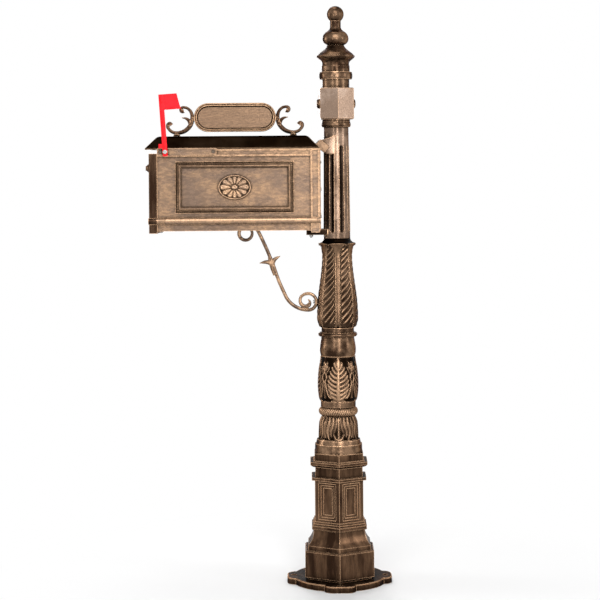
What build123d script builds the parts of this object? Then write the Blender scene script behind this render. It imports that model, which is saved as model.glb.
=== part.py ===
from build123d import *
from math import atan2, cos, degrees, pi, radians, sin, sqrt, tan
import os

# A household mailbox on an ornate cast post. The origin is on the post's axis at the underside of the
# foot plate, +Z is up, and the box reaches out towards -X, where its door faces the street.

os.makedirs("parts", exist_ok=True)

# Core tube, which carries every casting of the post
core_r = 30.15
core_wall = 3.9
bore_fit = 0.3  # radial clearance of the castings on the tube
socket_fit = 0.05
bore_r = core_r + bore_fit
wall = 6.0  # thickness of the hollow castings
ring_round = 2.0  # how far the edges of the turned rings fall back

# Foot plate
plate_t = 19.0
plate_step = 2.0
plate_r = 144.0
lobe_tip_r = 162.0
lobe_w = 97.0
lobe_corner_r = 28.0
anchor_pcd = 284.0
anchor_hole_r = 8.0
neck_ap = 98.0
neck_h = 7.0
socket_depth = 17.0

# Pedestal, a hexagon with a corner towards -Y: half widths across the flats, and heights of its stages
plinth_ap = 106.0
plinth_h = 81.0
plinth_bevel = 3.0
fillet_ap = 96.5
fillet_h = 14.0
cove_top_ap = 79.0
cove_h = 48.0
lower_lip_ap = 84.5
lower_lip_h = 12.0
die_ap = 74.5
die_step = 3.0
die_step_h = 13.0
die_h = 127.0
upper_lip_ap = 84.0
upper_lip_h = 9.0
frieze_ap = 73.0
frieze_h = 31.0
crown_ap = 88.0
crown_h = 17.0
cap_ap = 75.0
cap_h = 25.0
panel_w = 60.0
panel_h = 112.0
panel_step = 7.5
panel_step_depth = 2.0
panel_steps = 3

# Round castings of the post, each standing on the one below
drum_r = 74.0
drum_h = 26.0
drum_step_r = 70.0
drum_step_h = 14.0
cup_r = 62.5
cup_mouth_r = 52.0
cup_h = 73.0
rope_r = 14.0
rope_ring_r = 61.0
barrel_foot_r = 58.0
barrel_r = 64.8
barrel_neck_r = 53.0
barrel_collar_r = 54.5
barrel_collar_h = 16.0
barrel_h = 142.0
bell_r = 56.4
bell_mouth_r = 51.0
bell_h = 60.0
waist_ring_r = 61.0
waist_ring_h = 12.0
waist_neck_r = 51.0
waist_neck_h = 16.0
vase_foot_r = 55.0
vase_r = 64.2
vase_waist_r = 45.6
vase_rim_r = 58.4
vase_h = 262.0
vase_groove = 2.5  # how deep the feathered panels lie between the ribs
vase_rib_w = 15.0
rib_count = 6
petal_w = 50.0
petal_h = 62.0
petal_fall = 8.0  # from the middle of a petal's rounded top to its sides
vase_crown_h = 14.0  # the cone over the rim, up to the shaft's foot
shaft_foot_r = 41.4
shaft_top_r = 38.4
shaft_over_eave = 67.0
flute_r = 7.5
flute_depth = 4.0
flute_from = 19.0
flute_to = 288.0
flute_count = 8
cap_ring_r = 45.6
cap_ring_h = 16.0
cap_ring_neck_r = 43.5
cap_ring_neck_h = 8.0
collar_ap = 52.5
collar_turn = 6.0  # the collar was bolted on a little turned from the pedestal
collar_h = 98.0
collar_bevel = 3.0
collar_bolt_r = 6.0
bolt_fit = 0.5
nut_r = 15.0
nut_h = 8.0

# Finial
neck_ring_r = 42.0
neck_ring_h = 27.0
band_r = 52.0
band_h = 22.0
flare_foot_r = 43.6
flare_foot_h = 18.0
flare_r = 59.7
flare_h = 32.0
flare_edge = 3.0
cone_r = 26.0
cone_h = 34.0
bulb_foot_r = 25.5
bulb_r = 40.5
bulb_h = 76.0
ball_neck_r = 16.8
ball_neck_l = 20.0
ball_r = 26.2
stud_r = 6.0
plug_t = 20.0

# Box: the case is the square part, from the door frame to the rear panel
rear_gap = 50.0  # from the post's axis to the rear panel
case_l = 494.0
case_h = 249.0
field_y = 118.0
plate_y = 6.0
rear_t = 4.0
floor_t = 3.0
floor_flange_h = 24.0
skirt = 13.0  # how far the side panels hang below the floor
top_flange_w = 12.0
top_flange_t = 5.0
frieze_band_h = 21.0
lip_h = 3.5
lip_proud = 4.5
band_proud = 2.5
base_bead_r = 9.5
base_bead_proud = 9.0
base_bead_end = 4.0  # how far the bead runs past the ends of the case
base_bead_rise = 21.0
pilaster_w = 26.0
pilaster_proud = 2.5
pilaster_block_drop = 6.0
rope_frame_l = 357.0
rope_frame_h = 152.0
rope_w = 15.0
rope_proud = 5.0
rope_front_gap = 57.0
rope_top_gap = 40.0
groove_w = 2.0
groove_depth = 1.2
medallion_l = 102.0
medallion_h = 75.5
medallion_rim = 5.0
medallion_t = 4.0
medallion_base_t = 1.6
leaf_count = 12
leaf_hub = 0.21  # parts of the oval: its button, and where the leaves start
leaf_heel = 0.36
leaf_plump = 0.39
frame_t = 7.0
frame_bar = 12.0
roof_overhang = 37.0
roof_y = 122.0
roof_lip_h = 4.0
roof_h = 41.0
roof_slope = 46.0
roof_crown_r = 22.0
roof_wall = 5.0
screw_r = 2.0
screw_head_r = 4.0
screw_head_h = 2.4

# Door
door_t = 25.5
door_gap = 0.5
door_y = 121.0
door_drop = 7.0
door_top_gap = 12.0
door_plate_t = 5.0
door_flange_t = 6.0
door_border = 22.0
door_panel_depth = 2.0
knob_r = 12.5
knob_stem_r = 6.0
knob_rose_r = 9.0
knob_rose_t = 3.0
knob_l = 20.0
knob_rise = 199.5
hinge_inset = 10.0
hinge_drop = 12.5
hinge_pin_r = 2.5
hinge_fit = 0.06
hinge_ear_r = 6.0
hinge_ear_t = 8.0
hinge_ear_y = 86.0
bracket_t = 6.0
bracket_l = 30.0
side_play = 0.4
tongue_w = 10.0
tongue_t = 3.0
tongue_l = 18.0
clip_t = 2.0
clip_l = 36.0
clip_screw_y = 13.0
clip_play = 0.3

# Signal flag
bar_l = 181.5
bar_h = 22.0
bar_t = 3.0
bar_rise = 231.0
bar_screw_inset = 10.0
pivot_inset = 25.2
boss_r = 8.0
boss_h = 3.6
flag_play = 0.1
arm_w = 15.0
arm_edge_t = 1.2
arm_ridge = 2.0
arm_below = 13.3
flag_top = 175.3
blade_low = 127.5
blade_reach_top = 47.9
blade_reach_low = 57.3
blade_t = 1.2
blade_rim = 4.0
blade_rim_proud = 1.6
flag_lean = 3.8
tab_w = 8.5
tab_h = 13.0
rivet_r = 3.0
rivet_fit = 0.06
rivet_head_r = 6.6
rivet_head_h = 3.0

# Address plaque on the roof
plaque_l = 256.0
plaque_h = 90.0
plaque_rim = 8.0
plaque_t = 10.0
plaque_plate_t = 5.0
plaque_lift = 14.0
plaque_shift = 4.5
scroll_w = 9.0
scroll_t = 8.0
curl_w = 6.0
scroll_gap = 7.0
foot_w = 18.0
foot_h = 12.0
foot_bed = 0.5
c_r = 45.5
c_straight = 9.0
c_top_r = 23.5
c_turn_r = 16.0
c_hook_r = 9.0
horn_reach = 28.5
horn_h = 22.0
horn_w = 6.0

# Arms that carry the box, and the scroll brace under it
arm_rise = 12.0
arm_t = 18.0
arm_y = 30.0
arm_reach = 95.0
arm_pad_gap = 3.0
arm_bolt_x = 80.0
arm_bolt_y = 19.0
arm_bolt_r = 3.0
arm_bolt_head_r = 5.0
arm_bolt_head_h = 3.0
arm_bolt_tail = 4.0
arm_nut_af = 10.0
arm_nut_h = 5.0
lug_y = 37.0
lug_h = 58.0
pad_l = 40.0  # along the roof's slope
pad_t = 18.0
pad_corner_r = 5.0
pad_up = 1.0  # from the rear eave to the middle of the pad
pad_bolt_up = 14.5
pad_bolt_r = 3.0
pad_bolt_l = 15.0
pad_bolt_head_r = 5.0
pad_bolt_head_h = 3.0
brace_w = 11.0
brace_t = 13.0
brace_coil_r = 25.5
brace_coil_rise = 79.0
brace_loop_r = 20.5
brace_shoulder_r = 30.0
brace_flat = 14.0
brace_upper_lean = 65.0
brace_lower_lean = 70.0
brace_lower_l = 107.0
brace_sweep_r = 78.0
brace_curl_w = 9.0
brace_loop_sweep = 250.0
brace_gap = 0.3
brace_leaf_l = 37.0
brace_leaf_tail = 32.0
brace_leaf_w = 12.0
brace_bolt_r = 3.0
brace_bolt_l = 9.0
brace_bolt_head_r = 5.0
brace_bolt_head_h = 4.0
brace_bolt_bed = 0.8

# ---- Heights of the post's castings, stacked from the ground ----
pedestal_z = plate_t + neck_h
pedestal_stages = [
    plinth_h, fillet_h, cove_h, lower_lip_h, die_step_h, die_h,
    upper_lip_h, frieze_h, crown_h, cap_h,
]
drum_z = pedestal_z + sum(pedestal_stages)
cup_z = drum_z + drum_h + drum_step_h
rope_z = cup_z + cup_h
barrel_z = rope_z + 2 * rope_r
bell_z = barrel_z + barrel_collar_h + barrel_h
waist_z = bell_z + bell_h
vase_z = waist_z + waist_ring_h + waist_neck_h
shaft_z = vase_z + vase_h + vase_crown_h
arm_z = shaft_z + arm_rise
case_z = arm_z + arm_t
floor_z = case_z + skirt
eave_z = case_z + case_h
cap_ring_z = eave_z + shaft_over_eave
shaft_h = cap_ring_z - shaft_z
collar_z = cap_ring_z + cap_ring_h + cap_ring_neck_h
finial_z = collar_z + collar_h
ball_z = finial_z + neck_ring_h + band_h + flare_foot_h + flare_h + cone_h
collar_across = Plane(
    origin=(0, 0, collar_z + collar_h / 2),
    x_dir=(-sin(radians(collar_turn)), cos(radians(collar_turn)), 0),
    z_dir=(cos(radians(collar_turn)), sin(radians(collar_turn)), 0),
)

# ---- Places of the box along the arm ----
rear_x = -rear_gap
case_rear = rear_x - rear_t
case_front = case_rear - case_l
inner_y = field_y - plate_y

# Scroll brace, from its lower coil at the vase up to the loop under the floor
coil_z = vase_z + brace_coil_rise
vase_belly_r = vase_r - 0.9 * ring_round
vase_seat_r = vase_belly_r - vase_groove
coil_x = -(vase_seat_r + brace_gap + brace_coil_r + brace_w / 2)
upper, lower = radians(brace_upper_lean), radians(brace_lower_lean)
sweep_start = Vector(
    coil_x - brace_sweep_r * sin(lower),
    coil_z - brace_coil_r + brace_sweep_r * (1 - cos(lower)),
)
knee = sweep_start + Vector(-cos(lower), sin(lower)) * brace_lower_l
shoulder_drop = brace_shoulder_r * (1 - cos(upper))
upper_l = (floor_z - brace_w / 2 - shoulder_drop - knee.Y) / sin(upper)
shoulder = knee + Vector(-cos(upper), sin(upper)) * upper_l
crest = shoulder + Vector(-brace_shoulder_r * sin(upper), shoulder_drop)
loop_top = crest - Vector(brace_flat, 0)


def save(piece, name):
    """Label a finished piece and write it to its own file."""
    piece.part.label = name
    export_step(piece.part, f"parts/{name}.step")


def turned(runs, bore, mode=Mode.ADD):
    """Turn an outline about the post's axis. A run has two points for a line, or more for a curve."""
    with BuildSketch(Plane.XZ) as outline:
        with BuildLine():
            for run in runs:
                if len(run) == 2:
                    Line(*run)
                else:
                    Spline(*run)
            first, last = runs[0][0], runs[-1][-1]
            Polyline(last, (bore, last[1]), (bore, first[1]), first)
        make_face()
    revolve(outline.sketch, axis=Axis.Z, mode=mode)


def hex_plan(apothem, turn=0):
    """A hexagon with flats facing +X and -X, or turned about the post from there."""
    return RegularPolygon(apothem, 6, major_radius=False, rotation=30 + turn)


# ---- Foot plate: a disc with four lobes, a hexagonal neck and a socket for the tube ----
def foot_plan(inset):
    """A disc with four rounded lobes."""
    Circle(plate_r - inset)
    RectangleRounded(2 * (lobe_tip_r - inset), lobe_w - 2 * inset, lobe_corner_r - inset)
    RectangleRounded(lobe_w - 2 * inset, 2 * (lobe_tip_r - inset), lobe_corner_r - inset)


with BuildPart() as foot_plate:
    with BuildSketch():
        foot_plan(0)
    extrude(amount=plate_t - plate_step)
    with BuildSketch(Plane.XY.offset(plate_t - plate_step)):
        foot_plan(plate_step)
    extrude(amount=plate_step)
    with BuildSketch(Plane.XY.offset(plate_t)):
        hex_plan(neck_ap)
    extrude(amount=neck_h)
    with BuildSketch(Plane.XY.offset(pedestal_z)):
        Circle(core_r + socket_fit)
    extrude(amount=-socket_depth, mode=Mode.SUBTRACT)
    with PolarLocations(anchor_pcd / 2, 4):
        Hole(anchor_hole_r)
    Hole(core_r - core_wall)
save(foot_plate, "foot_plate")

with BuildPart() as core_tube:
    with BuildSketch(Plane.XY.offset(pedestal_z - socket_depth)):
        Circle(core_r)
        Circle(core_r - core_wall, mode=Mode.SUBTRACT)
    extrude(amount=finial_z - pedestal_z + socket_depth)
    with BuildSketch(collar_across):
        Circle(collar_bolt_r + bolt_fit)
    extrude(amount=2 * core_r, both=True, mode=Mode.SUBTRACT)
save(core_tube, "core_tube")

# ---- Pedestal: one moulded section, run along three pairs of flats and mitred at the corners ----
stage_z = [pedestal_z]
for stage in pedestal_stages:
    stage_z.append(stage_z[-1] + stage)
z0, z1, z2, z3, z4, z5, z6, z7, z8, z9, z10 = stage_z
with BuildSketch() as pedestal_section:
    with BuildLine():
        Polyline(
            (0, z0), (plinth_ap, z0), (plinth_ap, z1 - plinth_bevel), (plinth_ap - plinth_bevel, z1),
            (fillet_ap, z1), (fillet_ap, z2),
        )
        RadiusArc((fillet_ap, z2), (cove_top_ap, z3), cove_h * 1.35)
        Polyline(
            (cove_top_ap, z3), (lower_lip_ap - ring_round, z3), (lower_lip_ap, z3 + ring_round),
            (lower_lip_ap, z4),
            (die_ap + 2 * die_step, z4), (die_ap + 2 * die_step, (z4 + z5) / 2),
            (die_ap + die_step, (z4 + z5) / 2), (die_ap + die_step, z5), (die_ap, z5), (die_ap, z6),
            (upper_lip_ap, z6), (upper_lip_ap, z7), (frieze_ap, z7), (frieze_ap, z8),
        )
        RadiusArc((frieze_ap, z8), (crown_ap, z9 - crown_h / 2), -crown_h * 1.4)
        Polyline(
            (crown_ap, z9 - crown_h / 2), (crown_ap, z9), (cap_ap + die_step, z9),
            (cap_ap + die_step, z9 + die_step), (cap_ap, z9 + die_step), (cap_ap, z10), (0, z10),
        )
        Line((0, z10), (0, z0))
    make_face()
    mirror(about=Plane.YZ)

with BuildPart() as pedestal:
    for turn in (0, 60, 120):
        with BuildSketch(Plane.XZ.rotated((0, 0, turn))):
            add(pedestal_section.sketch)
        extrude(amount=2 * plinth_ap, both=True, mode=Mode.INTERSECT if turn else Mode.ADD)
    die_mid = (z5 + z6) / 2
    flats = [
        Plane(
            origin=(die_ap * cos(radians(a)), die_ap * sin(radians(a)), die_mid),
            x_dir=(-sin(radians(a)), cos(radians(a)), 0),
            z_dir=(cos(radians(a)), sin(radians(a)), 0),
        )
        for a in range(0, 360, 60)
    ]
    for step in range(panel_steps):
        with BuildSketch(*flats):
            Rectangle(panel_w - 2 * step * panel_step, panel_h - 2 * step * panel_step)
        extrude(amount=-(step + 1) * panel_step_depth, mode=Mode.SUBTRACT)
    with BuildSketch(Plane.XY.offset(z0)):
        hex_plan(plinth_ap - wall)
    extrude(amount=plinth_h - wall, mode=Mode.SUBTRACT)
    with BuildSketch(Plane.XY.offset(z1 - wall)):
        Circle(frieze_ap - panel_steps * panel_step_depth - wall)
    extrude(amount=z10 - z1, mode=Mode.SUBTRACT)
    with BuildSketch(Plane.XY.offset(z10 - wall)):
        Circle(bore_r)
    extrude(amount=wall, mode=Mode.SUBTRACT)
save(pedestal, "pedestal")

# ---- Round castings ----
with BuildPart() as drum:
    turned(
        [
            [(drum_r, drum_z), (drum_r - 1, drum_z + drum_h)],
            [(drum_r - 1, drum_z + drum_h), (drum_step_r, drum_z + drum_h)],
            [(drum_step_r, drum_z + drum_h), (drum_step_r - 3, cup_z)],
        ],
        bore_r,
    )
    turned([[(drum_step_r - wall, drum_z), (drum_step_r - wall, cup_z - wall)]], 0, Mode.SUBTRACT)
save(drum, "drum")

with BuildPart() as leaf_cup:
    turned(
        [
            [
                (cup_r - ring_round, cup_z), (cup_r, cup_z + 0.2 * cup_h),
                (cup_r - ring_round, cup_z + 0.6 * cup_h), (cup_mouth_r, rope_z),
            ]
        ],
        bore_r,
    )
    turned(
        [
            [(cup_r - 2 * wall, cup_z), (cup_r - 2 * wall, cup_z + cup_h / 2)],
            [(cup_r - 2 * wall, cup_z + cup_h / 2), (cup_mouth_r - 2 * wall, rope_z - wall)],
        ],
        0,
        Mode.SUBTRACT,
    )
save(leaf_cup, "leaf_cup")

with BuildPart() as rope_ring:
    with BuildSketch(Plane.XZ):
        with Locations((rope_ring_r - rope_r, rope_z + rope_r)):
            Circle(rope_r)
        with Locations(((bore_r + rope_ring_r - rope_r) / 2, rope_z + rope_r)):
            Rectangle(rope_ring_r - rope_r - bore_r, 2 * rope_r)
    revolve(axis=Axis.Z)
save(rope_ring, "rope_ring")

barrel_foot_z = barrel_z + barrel_collar_h
with BuildPart() as acanthus_barrel:
    turned(
        [
            [(barrel_collar_r, barrel_z), (barrel_collar_r, barrel_foot_z)],
            [(barrel_collar_r, barrel_foot_z), (barrel_foot_r, barrel_foot_z)],
            [
                (barrel_foot_r, barrel_foot_z), (0.985 * barrel_r, barrel_foot_z + 0.2 * barrel_h),
                (barrel_r, barrel_foot_z + 0.42 * barrel_h), (barrel_neck_r, bell_z),
            ],
        ],
        bore_r,
    )
    turned(
        [
            [(barrel_collar_r - 2 * wall, barrel_z), (barrel_r - 2 * wall, barrel_foot_z + 0.3 * barrel_h)],
            [
                (barrel_r - 2 * wall, barrel_foot_z + 0.3 * barrel_h),
                (barrel_neck_r - 2 * wall, bell_z - wall),
            ],
        ],
        0,
        Mode.SUBTRACT,
    )
save(acanthus_barrel, "acanthus_barrel")

with BuildPart() as bell:
    turned(
        [
            [
                (barrel_neck_r, bell_z), (bell_r, bell_z + 0.32 * bell_h),
                (0.95 * bell_r, bell_z + 0.7 * bell_h), (bell_mouth_r, waist_z),
            ]
        ],
        bore_r,
    )
    turned([[(bell_mouth_r - wall, bell_z), (bell_mouth_r - wall, waist_z - wall)]], 0, Mode.SUBTRACT)
save(bell, "bell")

waist_top = waist_z + waist_ring_h
waist_edge_r = waist_ring_r - 2 * ring_round
with BuildPart() as waist_ring:
    turned(
        [
            [(waist_edge_r, waist_z), (waist_ring_r, waist_z + waist_ring_h / 2), (waist_edge_r, waist_top)],
            [(waist_edge_r, waist_top), (waist_neck_r, waist_top)],
            [(waist_neck_r, waist_top), (waist_neck_r, vase_z)],
        ],
        bore_r,
    )
save(waist_ring, "waist_ring")

# Six ribs run up the vase and open into the petals of its rim, over which a cone rises to the shaft
vase_top = vase_z + vase_h
vase_curve = [
    (vase_foot_r, vase_z), (vase_r - ring_round, vase_z + 0.07 * vase_h), (vase_r, vase_z + 0.15 * vase_h),
    (vase_belly_r, coil_z),
    (0.93 * vase_r, vase_z + 0.42 * vase_h), (1.1 * vase_waist_r, vase_z + 0.63 * vase_h),
    (vase_waist_r, vase_z + 0.85 * vase_h), (vase_rim_r, vase_top),
]
with BuildPart() as vase_ribs:
    turned([vase_curve], bore_r)
    with BuildPart(mode=Mode.PRIVATE) as rib:
        with BuildSketch(Plane.YZ):
            with Locations((0, vase_z + vase_h / 2)):
                Rectangle(vase_rib_w, vase_h)
            with BuildLine():
                petal_side = Spline(
                    (vase_rib_w / 2, vase_top - petal_h), (0.28 * petal_w, vase_top - petal_h / 2),
                    (petal_w / 2, vase_top - petal_fall), tangents=((0, 1), (0.2, 1)),
                )
                ThreePointArc(petal_side @ 1, (0, vase_top), (-petal_w / 2, vase_top - petal_fall))
                mirror(petal_side, about=Plane.YZ)
                Line((-vase_rib_w / 2, vase_top - petal_h), (vase_rib_w / 2, vase_top - petal_h))
            make_face()
        extrude(amount=2 * vase_r)
    with BuildPart(mode=Mode.PRIVATE) as star:
        with PolarLocations(0, rib_count, start_angle=180 / rib_count):
            add(rib.part)
    add(star.part, mode=Mode.INTERSECT)

with BuildPart() as leaf_vase:
    panel_curve = [(r - vase_groove, z) for r, z in vase_curve]
    turned([panel_curve, [panel_curve[-1], (shaft_foot_r, shaft_z)]], bore_r)
    add(vase_ribs.part)
    turned(
        [
            [(vase_waist_r - 2 * wall, vase_z + wall), (vase_r - 2 * wall, vase_z + 0.2 * vase_h)],
            [(vase_r - 2 * wall, vase_z + 0.2 * vase_h), (vase_waist_r - wall, vase_z + 0.7 * vase_h)],
            [(vase_waist_r - wall, vase_z + 0.7 * vase_h), (vase_waist_r - wall, vase_top - wall)],
        ],
        0,
        Mode.SUBTRACT,
    )
    with BuildSketch(Plane.YZ.offset(-vase_r)):
        with Locations((0, coil_z)):
            Circle(brace_bolt_r)
    extrude(amount=2 * wall, mode=Mode.SUBTRACT)
save(leaf_vase, "leaf_vase")

# ---- Fluted shaft, with the lower arm and the boss that the roof bolts to ----
slope = radians(roof_slope)
rear_eave = Vector(case_rear, 0, eave_z + roof_lip_h)
up_slope = Vector(-cos(slope), 0, sin(slope))
off_slope = Vector(sin(slope), 0, cos(slope))
pad_seat = rear_eave + up_slope * pad_up
pad_bolt_plane = Plane(origin=rear_eave + up_slope * pad_bolt_up, x_dir=(0, 1, 0), z_dir=off_slope)

flute_dir = Vector(shaft_top_r - shaft_foot_r, 0, shaft_h)
flute_axis_r = flute_r - flute_depth
flute_start = Vector(shaft_foot_r + flute_axis_r, 0, shaft_z) + flute_dir * (flute_from / shaft_h)
flute_end = Vector(shaft_foot_r + flute_axis_r, 0, shaft_z) + flute_dir * (flute_to / shaft_h)
with BuildPart() as flute_cutter:
    with BuildSketch(Plane(origin=flute_start, z_dir=flute_dir)):
        Circle(flute_r)
    extrude(amount=(flute_end - flute_start).length)
    with Locations(flute_start, flute_end):
        Sphere(flute_r)

with BuildPart() as fluted_shaft:
    turned([[(shaft_foot_r, shaft_z), (shaft_top_r, cap_ring_z)]], bore_r)
    with PolarLocations(0, flute_count, start_angle=180 / flute_count):
        add(flute_cutter.part, mode=Mode.SUBTRACT)
    with BuildSketch(Plane.XY.offset(arm_z)):
        with Locations((-arm_reach / 2, 0)):
            Rectangle(arm_reach, 2 * arm_y)
    extrude(amount=arm_t)
    with BuildSketch(Plane.XY.offset(case_z)):
        with Locations(((-arm_reach + rear_x - arm_pad_gap - rear_t) / 2, 0)):
            Rectangle(arm_reach + rear_x - arm_pad_gap - rear_t, 2 * arm_y)
    extrude(amount=skirt)
    with Locations(*[(-arm_bolt_x, y, floor_z) for y in (-arm_bolt_y, arm_bolt_y)]):
        Hole(arm_bolt_r + bolt_fit)
    pad_mid = pad_seat + off_slope * (pad_t / 2)
    with BuildSketch(Plane(origin=pad_mid, x_dir=up_slope, z_dir=(0, -1, 0))):
        RectangleRounded(pad_l, pad_t, pad_corner_r)
    extrude(amount=lug_y, both=True)
    with BuildSketch(Plane.XZ):
        lug_low = pad_mid - up_slope * (pad_l / 2 - pad_corner_r)
        lug_top = pad_mid + up_slope * (pad_l / 2 - pad_corner_r)
        with BuildLine():
            Polyline(
                (-bore_r, lug_low.Z), (lug_low.X, lug_low.Z), (lug_top.X, lug_top.Z),
                (-bore_r, lug_low.Z + lug_h), close=True,
            )
        make_face()
    extrude(amount=lug_y, both=True)
    with BuildSketch(Plane.XY.offset(shaft_z)):
        Circle(bore_r)
    extrude(amount=shaft_h, mode=Mode.SUBTRACT)
    with BuildSketch(pad_bolt_plane):
        Circle(pad_bolt_r)
    extrude(amount=pad_bolt_l, mode=Mode.SUBTRACT)
save(fluted_shaft, "fluted_shaft")

with BuildPart() as cap_ring:
    turned(
        [
            [
                (cap_ring_r - ring_round, cap_ring_z), (cap_ring_r, cap_ring_z + cap_ring_h / 2),
                (cap_ring_r - ring_round, cap_ring_z + cap_ring_h),
            ],
            [(cap_ring_r - ring_round, cap_ring_z + cap_ring_h), (cap_ring_neck_r, cap_ring_z + cap_ring_h)],
            [(cap_ring_neck_r, cap_ring_z + cap_ring_h), (cap_ring_neck_r, collar_z)],
        ],
        bore_r,
    )
save(cap_ring, "cap_ring")

with BuildPart() as hex_collar:
    with BuildSketch(Plane.XY.offset(collar_z)):
        hex_plan(collar_ap, collar_turn)
    extrude(amount=collar_h)
    chamfer(hex_collar.edges().filter_by(Plane.XY), collar_bevel)
    with BuildSketch(Plane.XY.offset(collar_z)):
        Circle(bore_r)
    extrude(amount=collar_h, mode=Mode.SUBTRACT)
    with BuildSketch(Plane.XY.offset(collar_z + wall)):
        Circle(collar_ap - wall)
    extrude(amount=collar_h - 2 * wall, mode=Mode.SUBTRACT)
    with BuildSketch(collar_across):
        Circle(collar_bolt_r + bolt_fit)
    extrude(amount=2 * collar_ap, both=True, mode=Mode.SUBTRACT)
save(hex_collar, "hex_collar")

with BuildPart() as collar_bolt:
    with BuildSketch(collar_across):
        Circle(collar_bolt_r)
    extrude(amount=collar_ap + nut_h / 2, both=True)
save(collar_bolt, "collar_bolt")

with BuildPart() as right_nut:
    with BuildSketch(collar_across.offset(collar_ap)):
        Circle(nut_r)
    extrude(amount=nut_h)
    fillet(right_nut.faces().sort_by(Axis.X)[-1].edges(), 0.9 * nut_h)
    with BuildSketch(collar_across.offset(collar_ap)):
        Circle(collar_bolt_r)
    extrude(amount=nut_h / 2, mode=Mode.SUBTRACT)

with BuildPart() as dome_nuts:
    add(right_nut.part)
    with PolarLocations(0, 1, start_angle=180):
        add(right_nut.part)
save(dome_nuts, "dome_nuts")

# ---- Finial: a turned base clamped by the ball, which screws on a stud from the tube's plug ----
with BuildPart() as top_plug:
    with BuildSketch(Plane.XY.offset(finial_z - plug_t)):
        Circle(core_r - core_wall)
        Circle(stud_r, mode=Mode.SUBTRACT)
    extrude(amount=plug_t)
save(top_plug, "top_plug")

with BuildPart() as finial_stud:
    with BuildSketch(Plane.XY.offset(finial_z - plug_t)):
        Circle(stud_r)
    extrude(amount=plug_t + ball_z - finial_z + bulb_h / 2)
save(finial_stud, "finial_stud")

band_z = finial_z + neck_ring_h
flare_foot_z = band_z + band_h
flare_z = flare_foot_z + flare_foot_h + flare_h
with BuildPart() as finial_base:
    turned(
        [
            [(neck_ring_r, finial_z), (neck_ring_r, band_z)],
            [(neck_ring_r, band_z), (band_r - ring_round, band_z)],
            [
                (band_r - ring_round, band_z), (band_r, band_z + band_h / 2),
                (band_r - ring_round, flare_foot_z),
            ],
            [(band_r - ring_round, flare_foot_z), (flare_foot_r, flare_foot_z)],
            [(flare_foot_r, flare_foot_z), (flare_foot_r, flare_foot_z + flare_foot_h)],
            [
                (flare_foot_r, flare_foot_z + flare_foot_h),
                (flare_foot_r + 0.3 * (flare_r - flare_foot_r), flare_z - flare_h * 0.4),
                (flare_r - flare_edge / 2, flare_z - 1.4 * flare_edge), (flare_r, flare_z - flare_edge / 2),
                (flare_r - flare_edge, flare_z + flare_edge),
            ],
            [
                (flare_r - flare_edge, flare_z + flare_edge),
                (cone_r + 0.62 * (flare_r - cone_r), flare_z + 0.36 * cone_h),
                (cone_r + 0.22 * (flare_r - cone_r), flare_z + 0.68 * cone_h), (cone_r, ball_z),
            ],
        ],
        stud_r + bolt_fit,
    )
    turned([[(neck_ring_r - wall, finial_z), (neck_ring_r - wall, flare_z - flare_h / 2)]], 0, Mode.SUBTRACT)
save(finial_base, "finial_base")

ball_neck_z = ball_z + bulb_h
ball_top = ball_neck_z + sqrt(ball_r**2 - ball_neck_r**2) + ball_r
with BuildPart() as finial_ball:
    turned(
        [
            [
                (bulb_foot_r, ball_z), (bulb_r, ball_z + 0.3 * bulb_h),
                (0.82 * bulb_r, ball_z + 0.5 * bulb_h), (1.2 * ball_neck_r, ball_z + 0.64 * bulb_h),
                (ball_neck_r, ball_neck_z - ball_neck_l),
            ],
            [(ball_neck_r, ball_neck_z - ball_neck_l), (ball_neck_r, ball_neck_z)],
        ],
        0,
    )
    with Locations((0, 0, ball_top - ball_r)):
        Sphere(ball_r)
    with BuildSketch(Plane.XY.offset(ball_z)):
        Circle(stud_r)
    extrude(amount=bulb_h / 2, mode=Mode.SUBTRACT)
save(finial_ball, "finial_ball")

# ---- Side panels: a moulded section run from end to end, then the pilaster and the rope frame ----
rope_x = case_front + rope_front_gap + rope_frame_l / 2
rope_mid_z = eave_z - rope_top_gap - rope_frame_h / 2
bead_mid_z = case_z + base_bead_rise + base_bead_r
bar_screw_x = [case_front + bar_screw_inset, case_front + bar_l - bar_screw_inset]
pivot_x = case_front + pivot_inset
bar_mid_z = case_z + bar_rise + bar_h / 2
bar_y = field_y + lip_proud
flag_side = Plane(origin=(0, -field_y, 0), x_dir=(1, 0, 0), z_dir=(0, -1, 0))

# Screws that hold the case together: floor flanges and rear panel to the side panels, side panels to the roof
floor_l = case_l - frame_t
case_screw_x = [case_rear - floor_l * (k + 0.5) / 4 for k in range(4)]
case_screw_z = floor_z + floor_flange_h * 0.6
case_screw_l = floor_t + plate_y - 1
rear_screw_y = field_y - plate_y / 2
rear_screw_z = [case_z + case_h * (k + 0.5) / 3 for k in range(3)]
rear_screw_l = 16.0
roof_screw_y = inner_y - top_flange_w / 2
roof_screw_x = [case_rear - case_l * (k + 0.5) / 3 for k in range(3)]
roof_ledge_t = 5.0
roof_top = eave_z + roof_h
roof_x = case_rear - (case_l + roof_overhang) / 2
plaque_x = roof_x + plaque_shift
waist_point = Vector(
    plaque_x - plaque_l / 2 - scroll_gap - scroll_w / 2, roof_top + c_r + scroll_w + foot_bed
)
foot_x = waist_point.X - c_r
foot_places = [(x, 0) for x in (foot_x, 2 * plaque_x - foot_x)]
hinge_x = case_front + hinge_inset
hinge_z = floor_z - hinge_drop
hinge_screw_x = hinge_x + bracket_l / 2
bracket_y = hinge_ear_y + hinge_ear_t / 2 + side_play
hinge_screw_y = bracket_y + 2 * bracket_t


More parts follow.
